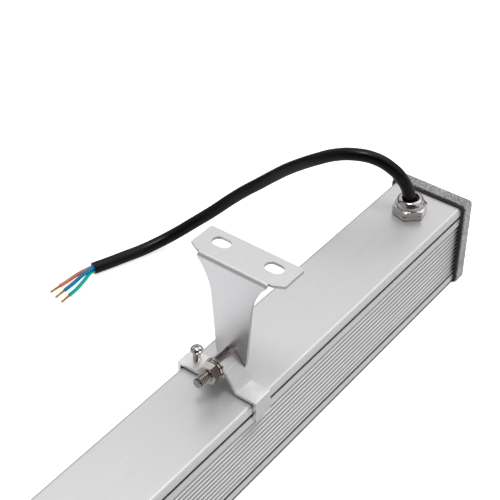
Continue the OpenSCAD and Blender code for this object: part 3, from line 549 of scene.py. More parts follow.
class Shape:
    """A mesh in millimetres that bmesh operators make and cut. Its methods can be chained."""

    def __init__(self) -> None:
        """Starts with nothing in it."""
        self.bm = bmesh.new()

    @classmethod
    def plate(cls, outline: Sequence[Flat], holes: Iterable[Sequence[Flat]], thickness: float,
              start: float) -> "Shape":
        """A flat outline in X and Z with its holes, drawn out along Y.

        Args:
            outline: The outer loop.
            holes: The loops left open.
            thickness: The depth.
            start: Where the first face lies on Y.

        Returns:
            The closed plate.
        """
        shape = cls()
        bm, edges = shape.bm, []
        for loop in (outline, *holes):
            verts = [bm.verts.new((x, start, z)) for x, z in loop]
            edges += [bm.edges.new(pair) for pair in zip(verts, verts[1:] + verts[:1])]
        bmesh.ops.triangle_fill(bm, use_beauty=True, use_dissolve=False, edges=edges,
                                normal=(0.0, -1.0, 0.0))
        raised = bmesh.ops.extrude_face_region(bm, geom=bm.faces[:])["geom"]
        raised = [g for g in raised if isinstance(g, bmesh.types.BMVert)]
        bmesh.ops.translate(bm, vec=(0.0, thickness, 0.0), verts=raised)
        return shape.face_out()

    @classmethod
    def turned(cls, rings: Sequence[Flat | Ring], sides: int, closed: bool = False) -> "Shape":
        """A body of stacked rings about Z, each a radius and a height, fixed or told by the angle.

        Args:
            rings: The rings, a radius of zero for a pole.
            sides: Number of points in a ring.
            closed: True where the last ring joins the first, as round a bore.

        Returns:
            The body with its normals outwards.
        """
        shape = cls()
        bm = shape.bm
        column = [bm.verts.new((1.0, 0.0, float(i))) for i in range(len(rings))]
        pairs = list(zip(column, column[1:])) + ([(column[-1], column[0])] if closed else [])
        edges = [bm.edges.new(pair) for pair in pairs]
        bmesh.ops.spin(bm, geom=column + edges, cent=(0, 0, 0), axis=(0, 0, 1), angle=2 * math.pi,
                       steps=sides, use_merge=True, use_normal_flip=False, use_duplicate=False)
        for vert in bm.verts:
            angle, ring = math.atan2(vert.co.y, vert.co.x), rings[round(vert.co.z)]
            radius, height = ring(angle) if callable(ring) else ring
            vert.co = (radius * math.cos(angle), radius * math.sin(angle), height)
        bmesh.ops.remove_doubles(bm, verts=bm.verts[:], dist=1e-5)
        return shape.face_out()

    @classmethod
    def rod(cls, radius: float, low: float, high: float, sides: int) -> "Shape":
        """A round rod about Z."""
        return cls.turned([(0, low), (radius, low), (radius, high), (0, high)], sides)

    @classmethod
    def of_mesh(cls, mesh: bpy.types.Mesh) -> "Shape":
        """The faces of a mesh that is in metres.

        Args:
            mesh: The mesh.

        Returns:
            The shape.
        """
        shape = cls()
        shape.bm.from_mesh(mesh)
        return shape.scale(1 / MM)

    @classmethod
    def of_node(cls, node: str) -> "Shape":
        """A copy of a CAD node's mesh, its loose triangles joined.

        Args:
            node: The node's name.

        Returns:
            The shape.
        """
        shape = cls.of_mesh(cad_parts[node].data)
        bmesh.ops.remove_doubles(shape.bm, verts=shape.bm.verts[:], dist=1e-3)
        return shape

    def mesh(self, name: str) -> bpy.types.Mesh:
        """A new mesh with the shape's faces.

        Args:
            name: The mesh's name.

        Returns:
            The mesh.
        """
        mesh = bpy.data.meshes.new(name)
        self.bm.to_mesh(mesh)
        return mesh

    def face_out(self) -> "Shape":
        """Turns all faces outwards."""
        bmesh.ops.recalc_face_normals(self.bm, faces=self.bm.faces[:])
        return self

    def add(self, other: "Shape") -> "Shape":
        """Takes in another shape's faces.

        Args:
            other: The other shape.

        Returns:
            The shape.
        """
        spare = other.mesh("spare")
        self.bm.from_mesh(spare)
        bpy.data.meshes.remove(spare)
        return self

    def copy(self) -> "Shape":
        """A shape of its own with the same faces."""
        return Shape().add(self)

    def scale(self, factor: float) -> "Shape":
        """Makes the shape larger or smaller about the origin."""
        bmesh.ops.scale(self.bm, vec=(factor,) * 3, verts=self.bm.verts[:])
        return self

    def move(self, *steps: Matrix) -> "Shape":
        """Applies transforms one after the other.

        Args:
            steps: The transforms in order.

        Returns:
            The shape.
        """
        for step in steps:
            bmesh.ops.transform(self.bm, matrix=step, verts=self.bm.verts[:])
        return self

    def shift(self, x: float = 0.0, y: float = 0.0, z: float = 0.0) -> "Shape":
        """Moves the shape."""
        return self.move(Matrix.Translation((x, y, z)))

    def combine(self, tool: "Shape", how: Boolean = Boolean.CUT) -> "Shape":
        """Runs an exact boolean with a tool.

        Args:
            tool: The other shape.
            how: Whether it is cut away or fused on.

        Returns:
            The shape.
        """
        work, other = (shown("spare", shape.mesh("spare")) for shape in (self, tool))
        modifier = work.modifiers.new("combine", "BOOLEAN")
        modifier.operation, modifier.solver, modifier.object = how.value, "EXACT", other
        result = final_mesh(work)
        self.bm.clear()
        self.bm.from_mesh(result)
        for mesh in (result, work.data, other.data):
            bpy.data.meshes.remove(mesh)
        return self

    def round_edges(self, width: float, segments: int, angle: float = 50.0,
                    where: Callable[[Vector], bool] = lambda middle: True) -> "Shape":
        """Rounds the edges whose faces meet at more than an angle.

        Args:
            width: Width of the rounding.
            segments: Number of faces across it.
            angle: Least angle between the two faces in degrees.
            where: Tells from an edge's middle whether it is rounded.

        Returns:
            The shape.
        """
        least = math.radians(angle)
        edges = [e for e in self.bm.edges if len(e.link_faces) == 2
                 and e.calc_face_angle(0.0) > least and where((e.verts[0].co + e.verts[1].co) / 2)]
        bmesh.ops.bevel(self.bm, geom=edges, offset=width, offset_type="OFFSET", segments=segments,
                        profile=0.5, affect="EDGES", material=-1, clamp_overlap=True)
        return self

    def paint(self, wears: Callable[[Vector], int]) -> "Shape":
        """Gives each face the finish that is told from its middle, 0 for the piece's first.

        Args:
            wears: Tells a finish's number from a face's middle.

        Returns:
            The shape.
        """
        for face in self.bm.faces:
            face.material_index = int(wears(face.calc_center_median()))
        return self

    def piece(self, name: str, finishes: Finish | Sequence[Finish], body: str, slot: str,
              *nodes: str, smooth: float = 32.0, flat_faces: bool = True) -> bpy.types.Object:
        """Makes the finished object, in metres, on its body.

        Args:
            name: The piece's name.
            finishes: Its finish, or several where its faces were painted.
            body: The CAD body that it moves with.
            slot: A material slot name, handed on to settle.
            nodes: The CAD nodes that it stands for.
            smooth: Angle in degrees under which two faces shade as one.
            flat_faces: True where broad flat faces keep an even shade beside rounded edges.

        Returns:
            The object.
        """
        self.scale(MM)
        for face in self.bm.faces:
            face.smooth = True
        mesh = self.mesh(name)
        self.bm.free()
        mesh.set_sharp_from_angle(angle=math.radians(smooth))
        for finish in [finishes] if isinstance(finishes, Finish) else finishes:
            mesh.materials.append(finish.material())
        thing = shown(name, mesh)
        if flat_faces:
            even = thing.modifiers.new("even_shading", "WEIGHTED_NORMAL")
            even.mode, even.weight, even.keep_sharp = "FACE_AREA", 100, True
        return settle(thing, body, slot, *nodes)


def settle(thing: bpy.types.Object, body: str, slot: str, *nodes: str) -> bpy.types.Object:
    """Puts a piece on its body and hides the nodes that it stands for.

    Args:
        thing: The piece.
        body: The CAD body that it moves with.
        slot: Not used.
        nodes: The CAD nodes that it stands for.

    Returns:
        The piece.
    """
    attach(thing, body)
    if nodes:
        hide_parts(*nodes)
    LOG.info("%s: %s, for %s", thing.name, body, ", ".join(nodes) or "itself")
    return thing


def hexagon_ring(flats: float, height: Callable[[float], float]) -> Ring:
    """A ring on a hexagon's sides.

    Args:
        flats: Width across the flats.
        height: Tells the ring's height from its radius.

    Returns:
        The ring.
    """
    step = math.pi / 3

    def ring(angle: float) -> Flat:
        """Radius and height at an angle."""
        radius = flats / 2 / math.cos((angle % step) - step / 2)
        return radius, height(radius)

    return ring


def hexagon_rings(flats: float, low: float, high: float, chamfer: float,
                  foot: float | None = None) -> list[Flat | Ring]:
    """Rings of a hexagon whose corners are turned off at 30 degrees at both its ends.

    Args:
        flats: Width across the flats.
        low: Height of the lower face.
        high: Height of the upper face.
        chamfer: How far the turning runs in from the corners.
        foot: The same for the lower face, if it differs.

    Returns:
        Four rings from the lower face's rim to the upper face's.
    """
    corner, rim = flats / math.sqrt(3), flats / 2 - 0.05
    slope = math.tan(math.radians(30))
    low_r = corner - (chamfer if foot is None else foot)
    high_r = corner - chamfer
    return [
        (min(low_r, rim), low),
        hexagon_ring(flats, lambda r: low + max(0.0, r - low_r) * slope),
        hexagon_ring(flats, lambda r: high - max(0.0, r - high_r) * slope),
        (min(high_r, rim), high),
    ]


@dataclass(frozen=True)
class Thread:
    """A screw thread about Z, its upper end turned off at 45 degrees down to the tip's radius."""

    radius: float
    pitch: float
    depth: float
    low: float
    high: float
    tip: float | None = None

    def at(self, height: float, angle: float) -> Flat:
        """Tells where the thread's surface is.

        Args:
            height: The height.
            angle: The angle about the axis.

        Returns:
            Radius and height.
        """
        turn = (height / self.pitch - angle / (2 * math.pi)) % 1.0
        crest = min(1.0, max(0.0, 1.35 - abs(2 * turn - 1.0) * 1.9))
        reach = self.radius - self.depth * (1.0 - crest)
        return (reach if self.tip is None else min(reach, self.tip + (self.high - height))), height

    def rings(self, steps: int) -> list[Ring]:
        """Cuts the thread into rings.

        Args:
            steps: Number of rings in one turn.

        Returns:
            The rings from below upwards.
        """
        rise = self.high - self.low
        count = max(2, round(rise / self.pitch * steps))
        return [partial(self.at, self.low + rise * i / count) for i in range(count + 1)]


def cross_tool(reach: float, width: float, depth: float, top: float) -> Shape:
    """A cross-shaped driver tip, pointing down, for a screw's recess.

    Args:
        reach: Length of an arm at the tip's upper end.
        width: Width of an arm there.
        depth: How far the tip goes down.
        top: The height from which it goes down.

    Returns:
        The tip, slimmer at its lower end.
    """
    low_reach, low_width = 0.45, 0.7
    blades = []
    for degrees in (0.0, 90.0):
        blade = Shape()
        bmesh.ops.create_cube(blade.bm, size=1.0)
        for vert in blade.bm.verts:
            low = vert.co.z < 0
            vert.co.x *= 2 * reach * (low_reach if low else 1.0)
            vert.co.y *= width * (low_width if low else 1.0)
            vert.co.z = top - depth if low else top + depth
        blades.append(blade.move(spin(degrees)))
    return blades[0].combine(blades[1], Boolean.FUSE)


def curve_object(name: str, points: Sequence[Sequence[float]], radius: float,
                 roundness: int) -> bpy.types.Object:
    """A smooth round curve through points given in millimetres.

    Args:
        name: The object's name.
        points: The points, from the light outwards.
        radius: The curve's radius in millimetres.
        roundness: Its bevel resolution; higher is rounder.

    Returns:
        The curve object, in metres.
    """
    data = bpy.data.curves.new(name, "CURVE")
    data.dimensions = "3D"
    data.bevel_depth, data.bevel_resolution = radius * MM, roundness
    data.resolution_u = 8
    data.use_fill_caps = True
    spline = data.splines.new("BEZIER")
    spline.bezier_points.add(len(points) - 1)
    for knot, point in zip(spline.bezier_points, points):
        knot.co = Vector(point) * MM
        knot.handle_left_type = knot.handle_right_type = "AUTO"
    return shown(name, data)


def as_mesh(thing: bpy.types.Object) -> bpy.types.Object:
    """Turns a curve object into a mesh object of the same name, with its UV map.

    Args:
        thing: The curve object.

    Returns:
        The mesh object.
    """
    name, mesh = thing.name, final_mesh(thing)
    bpy.data.objects.remove(thing)
    return shown(name, mesh)


# ---- studio


@dataclass(frozen=True)
class Patch:
    """A round part of the surroundings, darker or brighter, that fades between two angles."""

    middle: Point
    inner: float
    outer: float
    colour: Colour

    def over(self, tree: Tree, direction: Socket, under: Socket) -> Socket:
        """Lays the patch over the colour of the surroundings.

        Args:
            tree: The world's nodes.
            direction: The direction that is looked along.
            under: The colour before the patch.

        Returns:
            The colour with the patch.
        """
        toward = tree.add("VectorMath")
        toward.operation = "DOT_PRODUCT"
        toward.inputs[1].default_value = Vector(self.middle).normalized()
        start, end = (math.cos(math.radians(rim)) for rim in (self.outer, self.inner))
        share = tree.through(direction, toward, 0, "Value")
        mix = tree.add("MixRGB", Color2=(*self.colour, 1.0))
        tree.link(tree.spread(share, 0.0, 1.0, start, end, "SMOOTHSTEP"), mix, "Fac")
        return tree.through(under, mix, "Color1", "Color")


@dataclass
class Studio:
    """Camera, floor and light, in metres and degrees.

    The levels are the light's colours from straight below, at 0, to straight above, at 1.
    """

    azimuth: float = 37.147
    elevation: float = 38.855
    roll: float = 0.246
    lens: float = 95.32
    sensor: float = 36.0
    clip: Flat = (0.01, 50.0)
    eye: Point = (0.29895, -0.07811, 0.52558)
    lift: float = 0.002
    floor_size: float = 14.0
    floor_glow: float = 0.76
    lamp_at: Point = (0.05, 0.25, 1.9)
    lamp_aim: Point = (0.0, 0.3, 0.05)
    lamp_size: Flat = (0.45, 0.6)
    lamp_power: float = 10.0
    levels: tuple[tuple[float, Colour], ...] = (
        (0.0, grey(0.50)), (0.35, grey(0.56)), (0.47, (0.54, 0.53, 0.52)),
        (0.505, (0.14, 0.10, 0.08)), (0.62, (0.12, 0.085, 0.065)), (0.68, (0.62, 0.62, 0.63)),
        (0.80, grey(0.735)), (1.0, grey(0.88)),
    )
    patches: tuple[Patch, ...] = (
        Patch((-0.47, -0.62, -0.63), 20.0, 50.0, (0.80, 0.80, 0.81)),
        Patch((-0.47, -0.58, 0.60), 30.0, 46.0, (0.34, 0.335, 0.33)),
        Patch((-0.47, -0.87, 0.14), 10.0, 26.0, (0.38, 0.375, 0.37)),
        Patch((0.50, -0.68, 0.54), 30.0, 48.0, (0.07, 0.055, 0.045)),
        Patch((0.76, 0.62, 0.10), 20.0, 34.0, grey(0.72)),
        Patch((0.75, 0.62, 0.26), 6.0, 10.0, (0.08, 0.055, 0.045)),
        Patch((0.1, 0.62, 0.78), 5.0, 20.0, grey(1.8)),
    )

    def camera(self) -> None:
        """Places the camera at the photograph's viewpoint."""
        a, e, r = (math.radians(v) for v in (self.azimuth, self.elevation, self.roll))
        back = Vector((math.sin(a) * math.cos(e), -math.cos(a) * math.cos(e), math.sin(e)))
        level = Vector((math.cos(a), math.sin(a), 0.0))
        rise = back.cross(level)
        right = level * math.cos(r) + rise * math.sin(r)
        up = rise * math.cos(r) - level * math.sin(r)
        data = bpy.data.cameras.new("camera")
        data.lens, data.sensor_width, data.shift_y = self.lens, self.sensor, -self.lift
        data.clip_start, data.clip_end = self.clip
        thing = shown("camera", data)
        rows = [(right[i], up[i], back[i], self.eye[i]) for i in range(3)]
        thing.matrix_world = Matrix((*rows, (0.0, 0.0, 0.0, 1.0)))
        bpy.context.scene.camera = thing

    def floor(self) -> None:
        """Lays the plain pale floor, lit through from below like a light table."""
        grid = Shape()
        bmesh.ops.create_grid(grid.bm, x_segments=1, y_segments=1, size=self.floor_size / 2)
        thing = shown("floor", grid.mesh("floor"))
        graph = Graph("plain_floor")
        stops = [(0.3, grey(0.9)), (0.7, grey(0.92))]
        graph.feed("Base Color", graph.tint(graph.noise(graph.coords(), 3.0), stops))
        graph.set(Roughness=0.9, Specular_IOR_Level=0.1, Emission_Color=(1.0, 1.0, 1.0, 1.0),
                  Emission_Strength=self.floor_glow)
        thing.data.materials.append(graph.material)
        thing.visible_glossy = False

    def world(self) -> None:
        """Lights the scene softly from all round, by height and with patches in some directions."""
        world = bpy.data.worlds.new("studio")
        bpy.context.scene.world = world
        tree = Tree(world, "Background", "OutputWorld")
        direction = tree.add("TexCoord").outputs["Generated"]
        height = tree.through(direction, tree.add("SeparateXYZ"), "Vector", "Z")
        colour = tree.tint(tree.spread(height, 0.0, 1.0, -1.0, 1.0), self.levels)
        for patch in self.patches:
            colour = patch.over(tree, direction, colour)
        tree.link(colour, tree.shader, "Color")

    def lamp(self) -> None:
        """Hangs one rectangular soft light overhead."""
        data = bpy.data.lights.new("overhead", "AREA")
        data.shape = "RECTANGLE"
        data.size, data.size_y = self.lamp_size
        data.energy = self.lamp_power
        thing = shown("overhead", data)
        thing.location = self.lamp_at
        aim = Vector(self.lamp_aim) - Vector(self.lamp_at)
        thing.rotation_euler = aim.to_track_quat("-Z", "Y").to_euler()

    def build(self) -> None:
        """Sets up the whole studio."""
        self.camera()
        self.floor()
        self.world()
        self.lamp()
        settings = bpy.context.scene.view_settings
        settings.view_transform = "Standard"
        settings.look = "None"


# ---- cord


@dataclass
class Lead:
    """The short cord with its three stripped cores."""

    gland_y: float = 471.0
    jacket_d: float = 7.5
    core_d: float = 2.4
    copper_len: float = 7.5
    strand_d: float = 0.5
    strand_count: int = 7
    strand_turn: float = 2.6
    tuck: float = 0.6
    mouth_z: float = 66.9
    route: tuple[Point, ...] = (
        (0, 0, 44), (0, 0, 53), (0, 0, 62), (-1.5, -1, 71), (-5, -3, 79), (-11, -6, 86),
        (-20, -10, 91), (-31, -15, 92.1), (-42, -19, 89.2), (-52, -22, 83.7), (-62, -23, 76.6),
        (-72, -24, 68.7), (-81, -25, 60.5), (-90, -27, 52.1), (-99, -30, 44), (-108, -33, 35),
        (-117, -38, 25.5), (-126, -45, 17), (-134, -54, 10), (-140, -64, 6), (-145, -75, 4),
        (-149, -86, 4), (-153, -97, 4), (-157, -107, 4),
    )
    cores: dict[str, tuple[Point, ...]] = field(default_factory=lambda: {
        "brown": ((-157.6, -104.6, 4), (-159.1, -108.4, 4), (-161.5, -116, 3.2), (-163, -123, 2),
                  (-164, -129.5, 1.5)),
        "blue": ((-155.6, -105.4, 5.2), (-157.1, -109.1, 5.1), (-158.2, -116, 3.6),
                 (-158.6, -124, 2.2), (-159, -131, 1.5)),
        "earth": ((-155.6, -105.4, 2.8), (-156.8, -109.2, 2.6), (-155.4, -117, 2),
                  (-154, -125, 1.6), (-153.5, -132.5, 1.5)),
    })

    def placed(self, points: Sequence[Point]) -> list[Vector]:
        """Points given from the gland, placed on the bar."""
        return [Vector((x, y + self.gland_y, z)) for x, y, z in points]

    def sleeve(self, colour: str, finish: Finish, slot: str) -> bpy.types.Object:
        """Makes one core's insulation.

        Args:
            colour: The core.
            finish: Its finish.
            slot: A material slot name, handed on to settle.

        Returns:
            The object.
        """
        route = self.placed(self.cores[colour])
        thing = as_mesh(curve_object(f"core_{colour}_skin", route, self.core_d / 2, 6))
        thing.data.materials.clear()
        thing.data.materials.append(finish.material())
        return settle(thing, BAR, slot, f"core_{colour}")

    def strand(self, start: Vector, along: Vector, index: int) -> list[Vector]:
        """The route of one strand of a tip.

        Args:
            start: Where the strands start, inside the insulation.
            along: The way that they run.
            index: The strand's number, 0 for the one that the others twist round.

        Returns:
            The points.
        """
        side = along.cross(Vector((0, 0, 1))).normalized()
        up = side.cross(along)
        radius = self.strand_d if index else 0.0
        reach, short = self.copper_len + self.tuck, 1.0 - 0.05 * (index % 3)
        route = []
        for share in (step / 8 for step in range(9)):
            turn = index * math.pi / 3 + share * self.strand_turn
            splay = 1.0 + 0.25 * share * math.sin(index * 2.3)
            route.append(start + along * (reach * share * short)
                         + (side * math.cos(turn) + up * math.sin(turn)) * radius * splay)
        return route

    def strands(self) -> bpy.types.Object:
        """Makes the bare copper of the three tips, each a bundle of twisted strands.

        Returns:
            The object.
        """
        bundle = Shape()
        for core in self.cores.values():
            points = self.placed(core)
            along = (points[-1] - points[-2]).normalized()
            for index in range(self.strand_count):
                route = self.strand(points[-1] - along * self.tuck, along, index)
                strand = as_mesh(curve_object("strand", route, self.strand_d / 2, 1))
                bundle.add(Shape.of_mesh(strand.data))
                bpy.data.objects.remove(strand)
        return bundle.piece("copper_strands", Palette.copper, BAR, "bare_copper", "core_copper")

    def build(self) -> None:
        jacket = curve_object("cord_jacket_skin", self.placed(self.route), self.jacket_d / 2, 10)
        jacket.data.materials.append(Palette.jacket.material())
        settle(jacket, BAR, "cord_rubber", "cord_jacket")
        ends = [
            self.sleeve("brown", Palette.brown, "brown_insulation"),
            self.sleeve("blue", Palette.blue, "blue_insulation"),
            self.sleeve("earth", Palette.earth, "green_yellow_insulation"),
            self.strands(),
        ]


# ---- bar


@dataclass
class Bar:
    """The extruded housing, its caps and what is sealed in it."""

    half_len: float = 500.0
    cap_t: float = 7.2
    cap_past_side: float = 2.4
    cap_past_top: float = 2.2
    cap_corner_r: float = 2.2
    cap_round: float = 1.2
    cap_inner_round: float = 0.35
    countersink: float = 1.75
    gasket_t: float = 1.5
    half_w: float = 23.0
    height: float = 56.0
    wall: float = 2.8
    top_t: float = 2.4
    top_r: float = 2.2
    bottom_r: float = 0.8
    groove_z: float = 50.2
    groove_w: float = 2.0
    groove_depth: float = 1.6
    lower_groove_z: float = 7.9
    line_z: float = 1.9
    line_w: float = 1.1
    flute_low: float = 9.7
    flute_high: float = 44.6
    flute_count: int = 11
    flute_depth: float = 1.2
    ridge_w: float = 0.4
    ledge_z: float = 6.2
    ledge_reach: float = 2.6
    shelf_z: float = 20.0
    shelf_t: float = 2.4
    port_x: float = 18.0
    port_zs: tuple[float, float] = (9.9, 51.4)
    port_r: float = 3.0
    bore_r: float = 2.1
    gland_y: float = 471.0
    gland_hole_r: float = 7.7
    lead_hole_y: float = 247.0
    lead_hole_r: float = 4.0
    board_hole_y: float = -440.0
    board_hole_pitch: float = 160.0
    board_hole_r: float = 1.6
    board_hole_count: int = 6
    screw_r: float = 2.0
    screw_head_r: float = 3.72
    screw_len: float = 13.2
    screw_sunk: float = 0.12

    @property
    def end_y(self) -> float:
        """Where the extrusion ends."""
        return self.half_len - self.cap_t - self.gasket_t

    def groove(self, middle: float, width: float, depth: float, lip: float = 0.18) -> list[Flat]:
        """A square groove in the right side face, its two lips rounded.

        Args:
            middle: Height of the groove's middle.
            width: Its width.
            depth: Its depth.
            lip: Radius of its lips.

        Returns:
            The points from below upwards.
        """
        x, low, high = self.half_w, middle - width / 2, middle + width / 2
        return [
            *arc((x - lip, low - lip), lip, 0, 90, 3), (x - depth, low),
            (x - depth, high), *arc((x - lip, high + lip), lip, -90, 0, 3),
        ]

    def side_finish(self, point: Vector) -> int:
        """Tells which of the housing's finishes a face wears; most are painted shade or highlight.

        Args:
            point: The face's middle.

        Returns:
            1 in a groove, 2 in a flute and 3 in the fine line, all painted shade, 4 on a ridge, a
            painted highlight, and 0 elsewhere.
        """
        near, edge = self.half_w - 0.25, 0.3
        for middle, width, depth, finish in (
            (self.groove_z, self.groove_w, self.groove_depth, 1),
            (self.lower_groove_z, self.groove_w, self.groove_depth, 1),
            (self.line_z, self.line_w, self.line_w, 3),
        ):
            deep = near - depth < abs(point.x) < self.half_w - 0.1
            if deep and abs(point.z - middle) < width / 2 + 0.01:
                return finish
        fluted = self.flute_low + edge < point.z < self.flute_high - edge
        if not fluted or abs(point.x) < near - self.flute_depth:
            return 0
        return 2 if abs(point.x) < near else 4

    def right_side(self) -> list[Flat]:
        """Draws the right side face.

        Returns:
            The points from the bottom edge to the top's rounded corner.
        """
        x = self.half_w
        points = arc((x - self.bottom_r, self.bottom_r), self.bottom_r, -90, 0, 4)
        points += self.groove(self.line_z, self.line_w, self.line_w, 0.1)
        points += self.groove(self.lower_groove_z, self.groove_w, self.groove_depth)
        pitch = (self.flute_high - self.flute_low) / self.flute_count
        half = (pitch - self.ridge_w) / 2
        radius = (half**2 + self.flute_depth**2) / (2 * self.flute_depth)
        sweep = math.degrees(math.asin(half / radius))
        for index in range(self.flute_count):
            centre = (x - self.flute_depth + radius, self.flute_low + (index + 0.5) * pitch)
            points += arc(centre, radius, 180 + sweep, 180 - sweep, 10)
        points += self.groove(self.groove_z, self.groove_w, self.groove_depth)
        points += arc((x - self.top_r, self.height - self.top_r), self.top_r, 0, 90, 8)
        return points

    def bores(self, steps: int) -> list[list[Flat]]:
        """The four screw bores, seen from the end."""
        centres = product((-self.port_x, self.port_x), self.port_zs)
        return [circle(centre, self.bore_r, steps) for centre in centres]

    def section(self) -> tuple[list[Flat], list[list[Flat]]]:
        """Draws the profile: the screw ports are arcs that run out into the inner walls.

        Returns:
            The outer loop and the loops inside it.
        """
        inner, (port_low, port_high) = self.half_w - self.wall, self.port_zs
        reach = math.sqrt(self.port_r**2 - (inner - self.port_x) ** 2)
        side_turn = math.degrees(math.atan2(reach, inner - self.port_x))
        tip = inner - self.ledge_reach
        tip_rise = math.sqrt(self.port_r**2 - (tip - self.port_x) ** 2)
        tip_turn = math.degrees(math.atan2(-tip_rise, tip - self.port_x))
        lower = [(0.0, self.shelf_z), (inner, self.shelf_z)]
        lower += arc((self.port_x, port_low), self.port_r, side_turn, 360 + tip_turn, 14)
        lower += [(tip, self.ledge_z), (inner, self.ledge_z), (inner, 0.0)]
        rise = self.height - self.top_t - port_high
        top_turn = math.degrees(math.atan2(rise, -reach))
        upper = [(inner, self.shelf_z + self.shelf_t)]
        upper += arc((self.port_x, port_high), self.port_r, -side_turn, top_turn - 360, 14)
        return mirrored(lower + self.right_side()), [mirrored(upper), *self.bores(20)]

    def extrusion(self) -> None:
        """Makes the housing, with the holes in its top wall and shelf."""
        outer, loops = self.section()
        low, high = self.shelf_z - 2.0, self.shelf_z + 4.0
        tool = Shape.rod(self.gland_hole_r, self.height - 6.0, self.height + 2.0, 48)
        tool.shift(y=self.gland_y)
        tool.add(Shape.rod(self.lead_hole_r, low, high, 24).shift(y=self.lead_hole_y))
        for index in range(self.board_hole_count):
            y = self.board_hole_y + self.board_hole_pitch * index
            tool.add(Shape.rod(self.board_hole_r, low, high, 16).shift(y=y))
        body = Shape.plate(outer, loops, 2 * self.end_y, -self.end_y).combine(tool)
        # the groove, flute and line finishes are painted shade, the ridge finish a painted
        # highlight
        worn = (Palette.extrusion, Palette.groove, Palette.flute, Palette.line, Palette.ridge)
        body.paint(self.side_finish).piece(
            "bar_extrusion", worn, BAR, "anodised_aluminium", "housing", smooth=30)

    def cap(self, side: Side) -> None:
        """Makes one cast end cap with its four countersunk holes.

        Args:
            side: The end that it closes.
        """
        half, high = self.half_w + self.cap_past_side, self.height + self.cap_past_top
        corner, start = self.cap_corner_r, self.half_len - self.cap_t
        right = arc((half - corner, corner), corner, -90, 0, 8)
        right += arc((half - corner, high - corner), corner, 0, 90, 8)
        body = Shape.plate(mirrored(right), self.bores(24), self.cap_t, start)

        def rims(middle: Vector) -> bool:
            """Whether an edge is part of a hole's rim."""
            x, reach = abs(middle.x) - self.port_x, self.bore_r + 0.3
            return any(math.hypot(x, middle.z - z) < reach for z in self.port_zs)

        outer = self.half_len - 0.01
        body.round_edges(self.cap_round, 5, where=lambda m: m.y > outer and not rims(m))
        body.round_edges(self.cap_inner_round, 2,
                         where=lambda m: m.y < start + 0.01 and not rims(m))
        body.round_edges(self.countersink, 1, where=lambda m: m.y > outer and rims(m))
        body.move(side.turn).piece(f"end_cap_{side.value}_casting", Palette.cap, BAR,
                                   "cast_cap_paint", f"end_cap_{side.value}")

    def cap_screws(self) -> None:
        """Makes the eight countersunk screws, each with a cross recess."""
        radius, head, length = self.screw_r, self.screw_head_r, self.screw_len
        thread = Thread(radius, 1.0, 0.28, 1.2 - length, -2.2).rings(6)[::-1]
        screw = Shape.turned([
            (0, 0), (head - 0.22, 0), (head, -0.08), (head, -0.3), (radius, -2.0), *thread,
            (1.2, 0.2 - length), (0, -length),
        ], 32).combine(cross_tool(1.9, 0.75, 1.5, 0.0))
        every = Shape()
        for side, x, (index, z) in product(Side, (-self.port_x, self.port_x),
                                           enumerate(self.port_zs)):
            turn = Matrix.Rotation(0.5 + 0.9 * index + 0.4 * (x > 0), 4, "Z")
            place = Matrix.Translation((x, self.half_len - self.screw_sunk, z))
            every.add(screw.copy().move(turn, spin(-90.0, "X"), place, side.turn))
        every.piece("cap_screws_cross_head", Palette.steel, BAR, "fastener_steel", "cap_screws",
                    flat_faces=False)

    def dress_inside(self) -> None:
        """Gives the nodes that need no new shape their finishes."""
        worn = {
            "glass_cover": Palette.glass, "glass_seal": Palette.silicone,
            "led_board": Palette.white_board, "driver_board": Palette.green_board,
            "end_gasket_near": Palette.rubber, "end_gasket_far": Palette.rubber,
            "terminal_block": Palette.terminal, "driver_spacers": Palette.nylon,
        }
        for node, finish in worn.items():
            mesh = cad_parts[node].data
            mesh.materials.clear()
            mesh.materials.append(finish.material())
            LOG.info("%s: dressed", node)

    def smooth_inside(self) -> None:
        """Replaces the inner nodes that have round forms by smoothly shaded copies."""
        worn = {
            "lenses": (Palette.lens, "clear_lens"),
            "led_packages": (Palette.phosphor, "led_phosphor"),
            "board_screws": (Palette.steel, "fastener_steel"),
            "driver_transformer": (Palette.tape, "yellow_tape"),
            "driver_capacitors": (Palette.sleeve, "dark_sleeve"),
            "inner_leads": (Palette.leads, "lead_insulation"),
            "board_leads": (Palette.leads, "lead_insulation"),
            "gland_lock_nut": (Palette.nickel, "nickel_plate"),
        }
        for node, (finish, slot) in worn.items():
            Shape.of_node(node).piece(f"{node}_smooth", finish, BAR, slot, node)

    def build(self) -> None:
        """Makes the bar."""
        self.extrusion()
        for side in Side:
            self.cap(side)
        self.cap_screws()
        self.dress_inside()
        self.smooth_inside()


# ---- gland


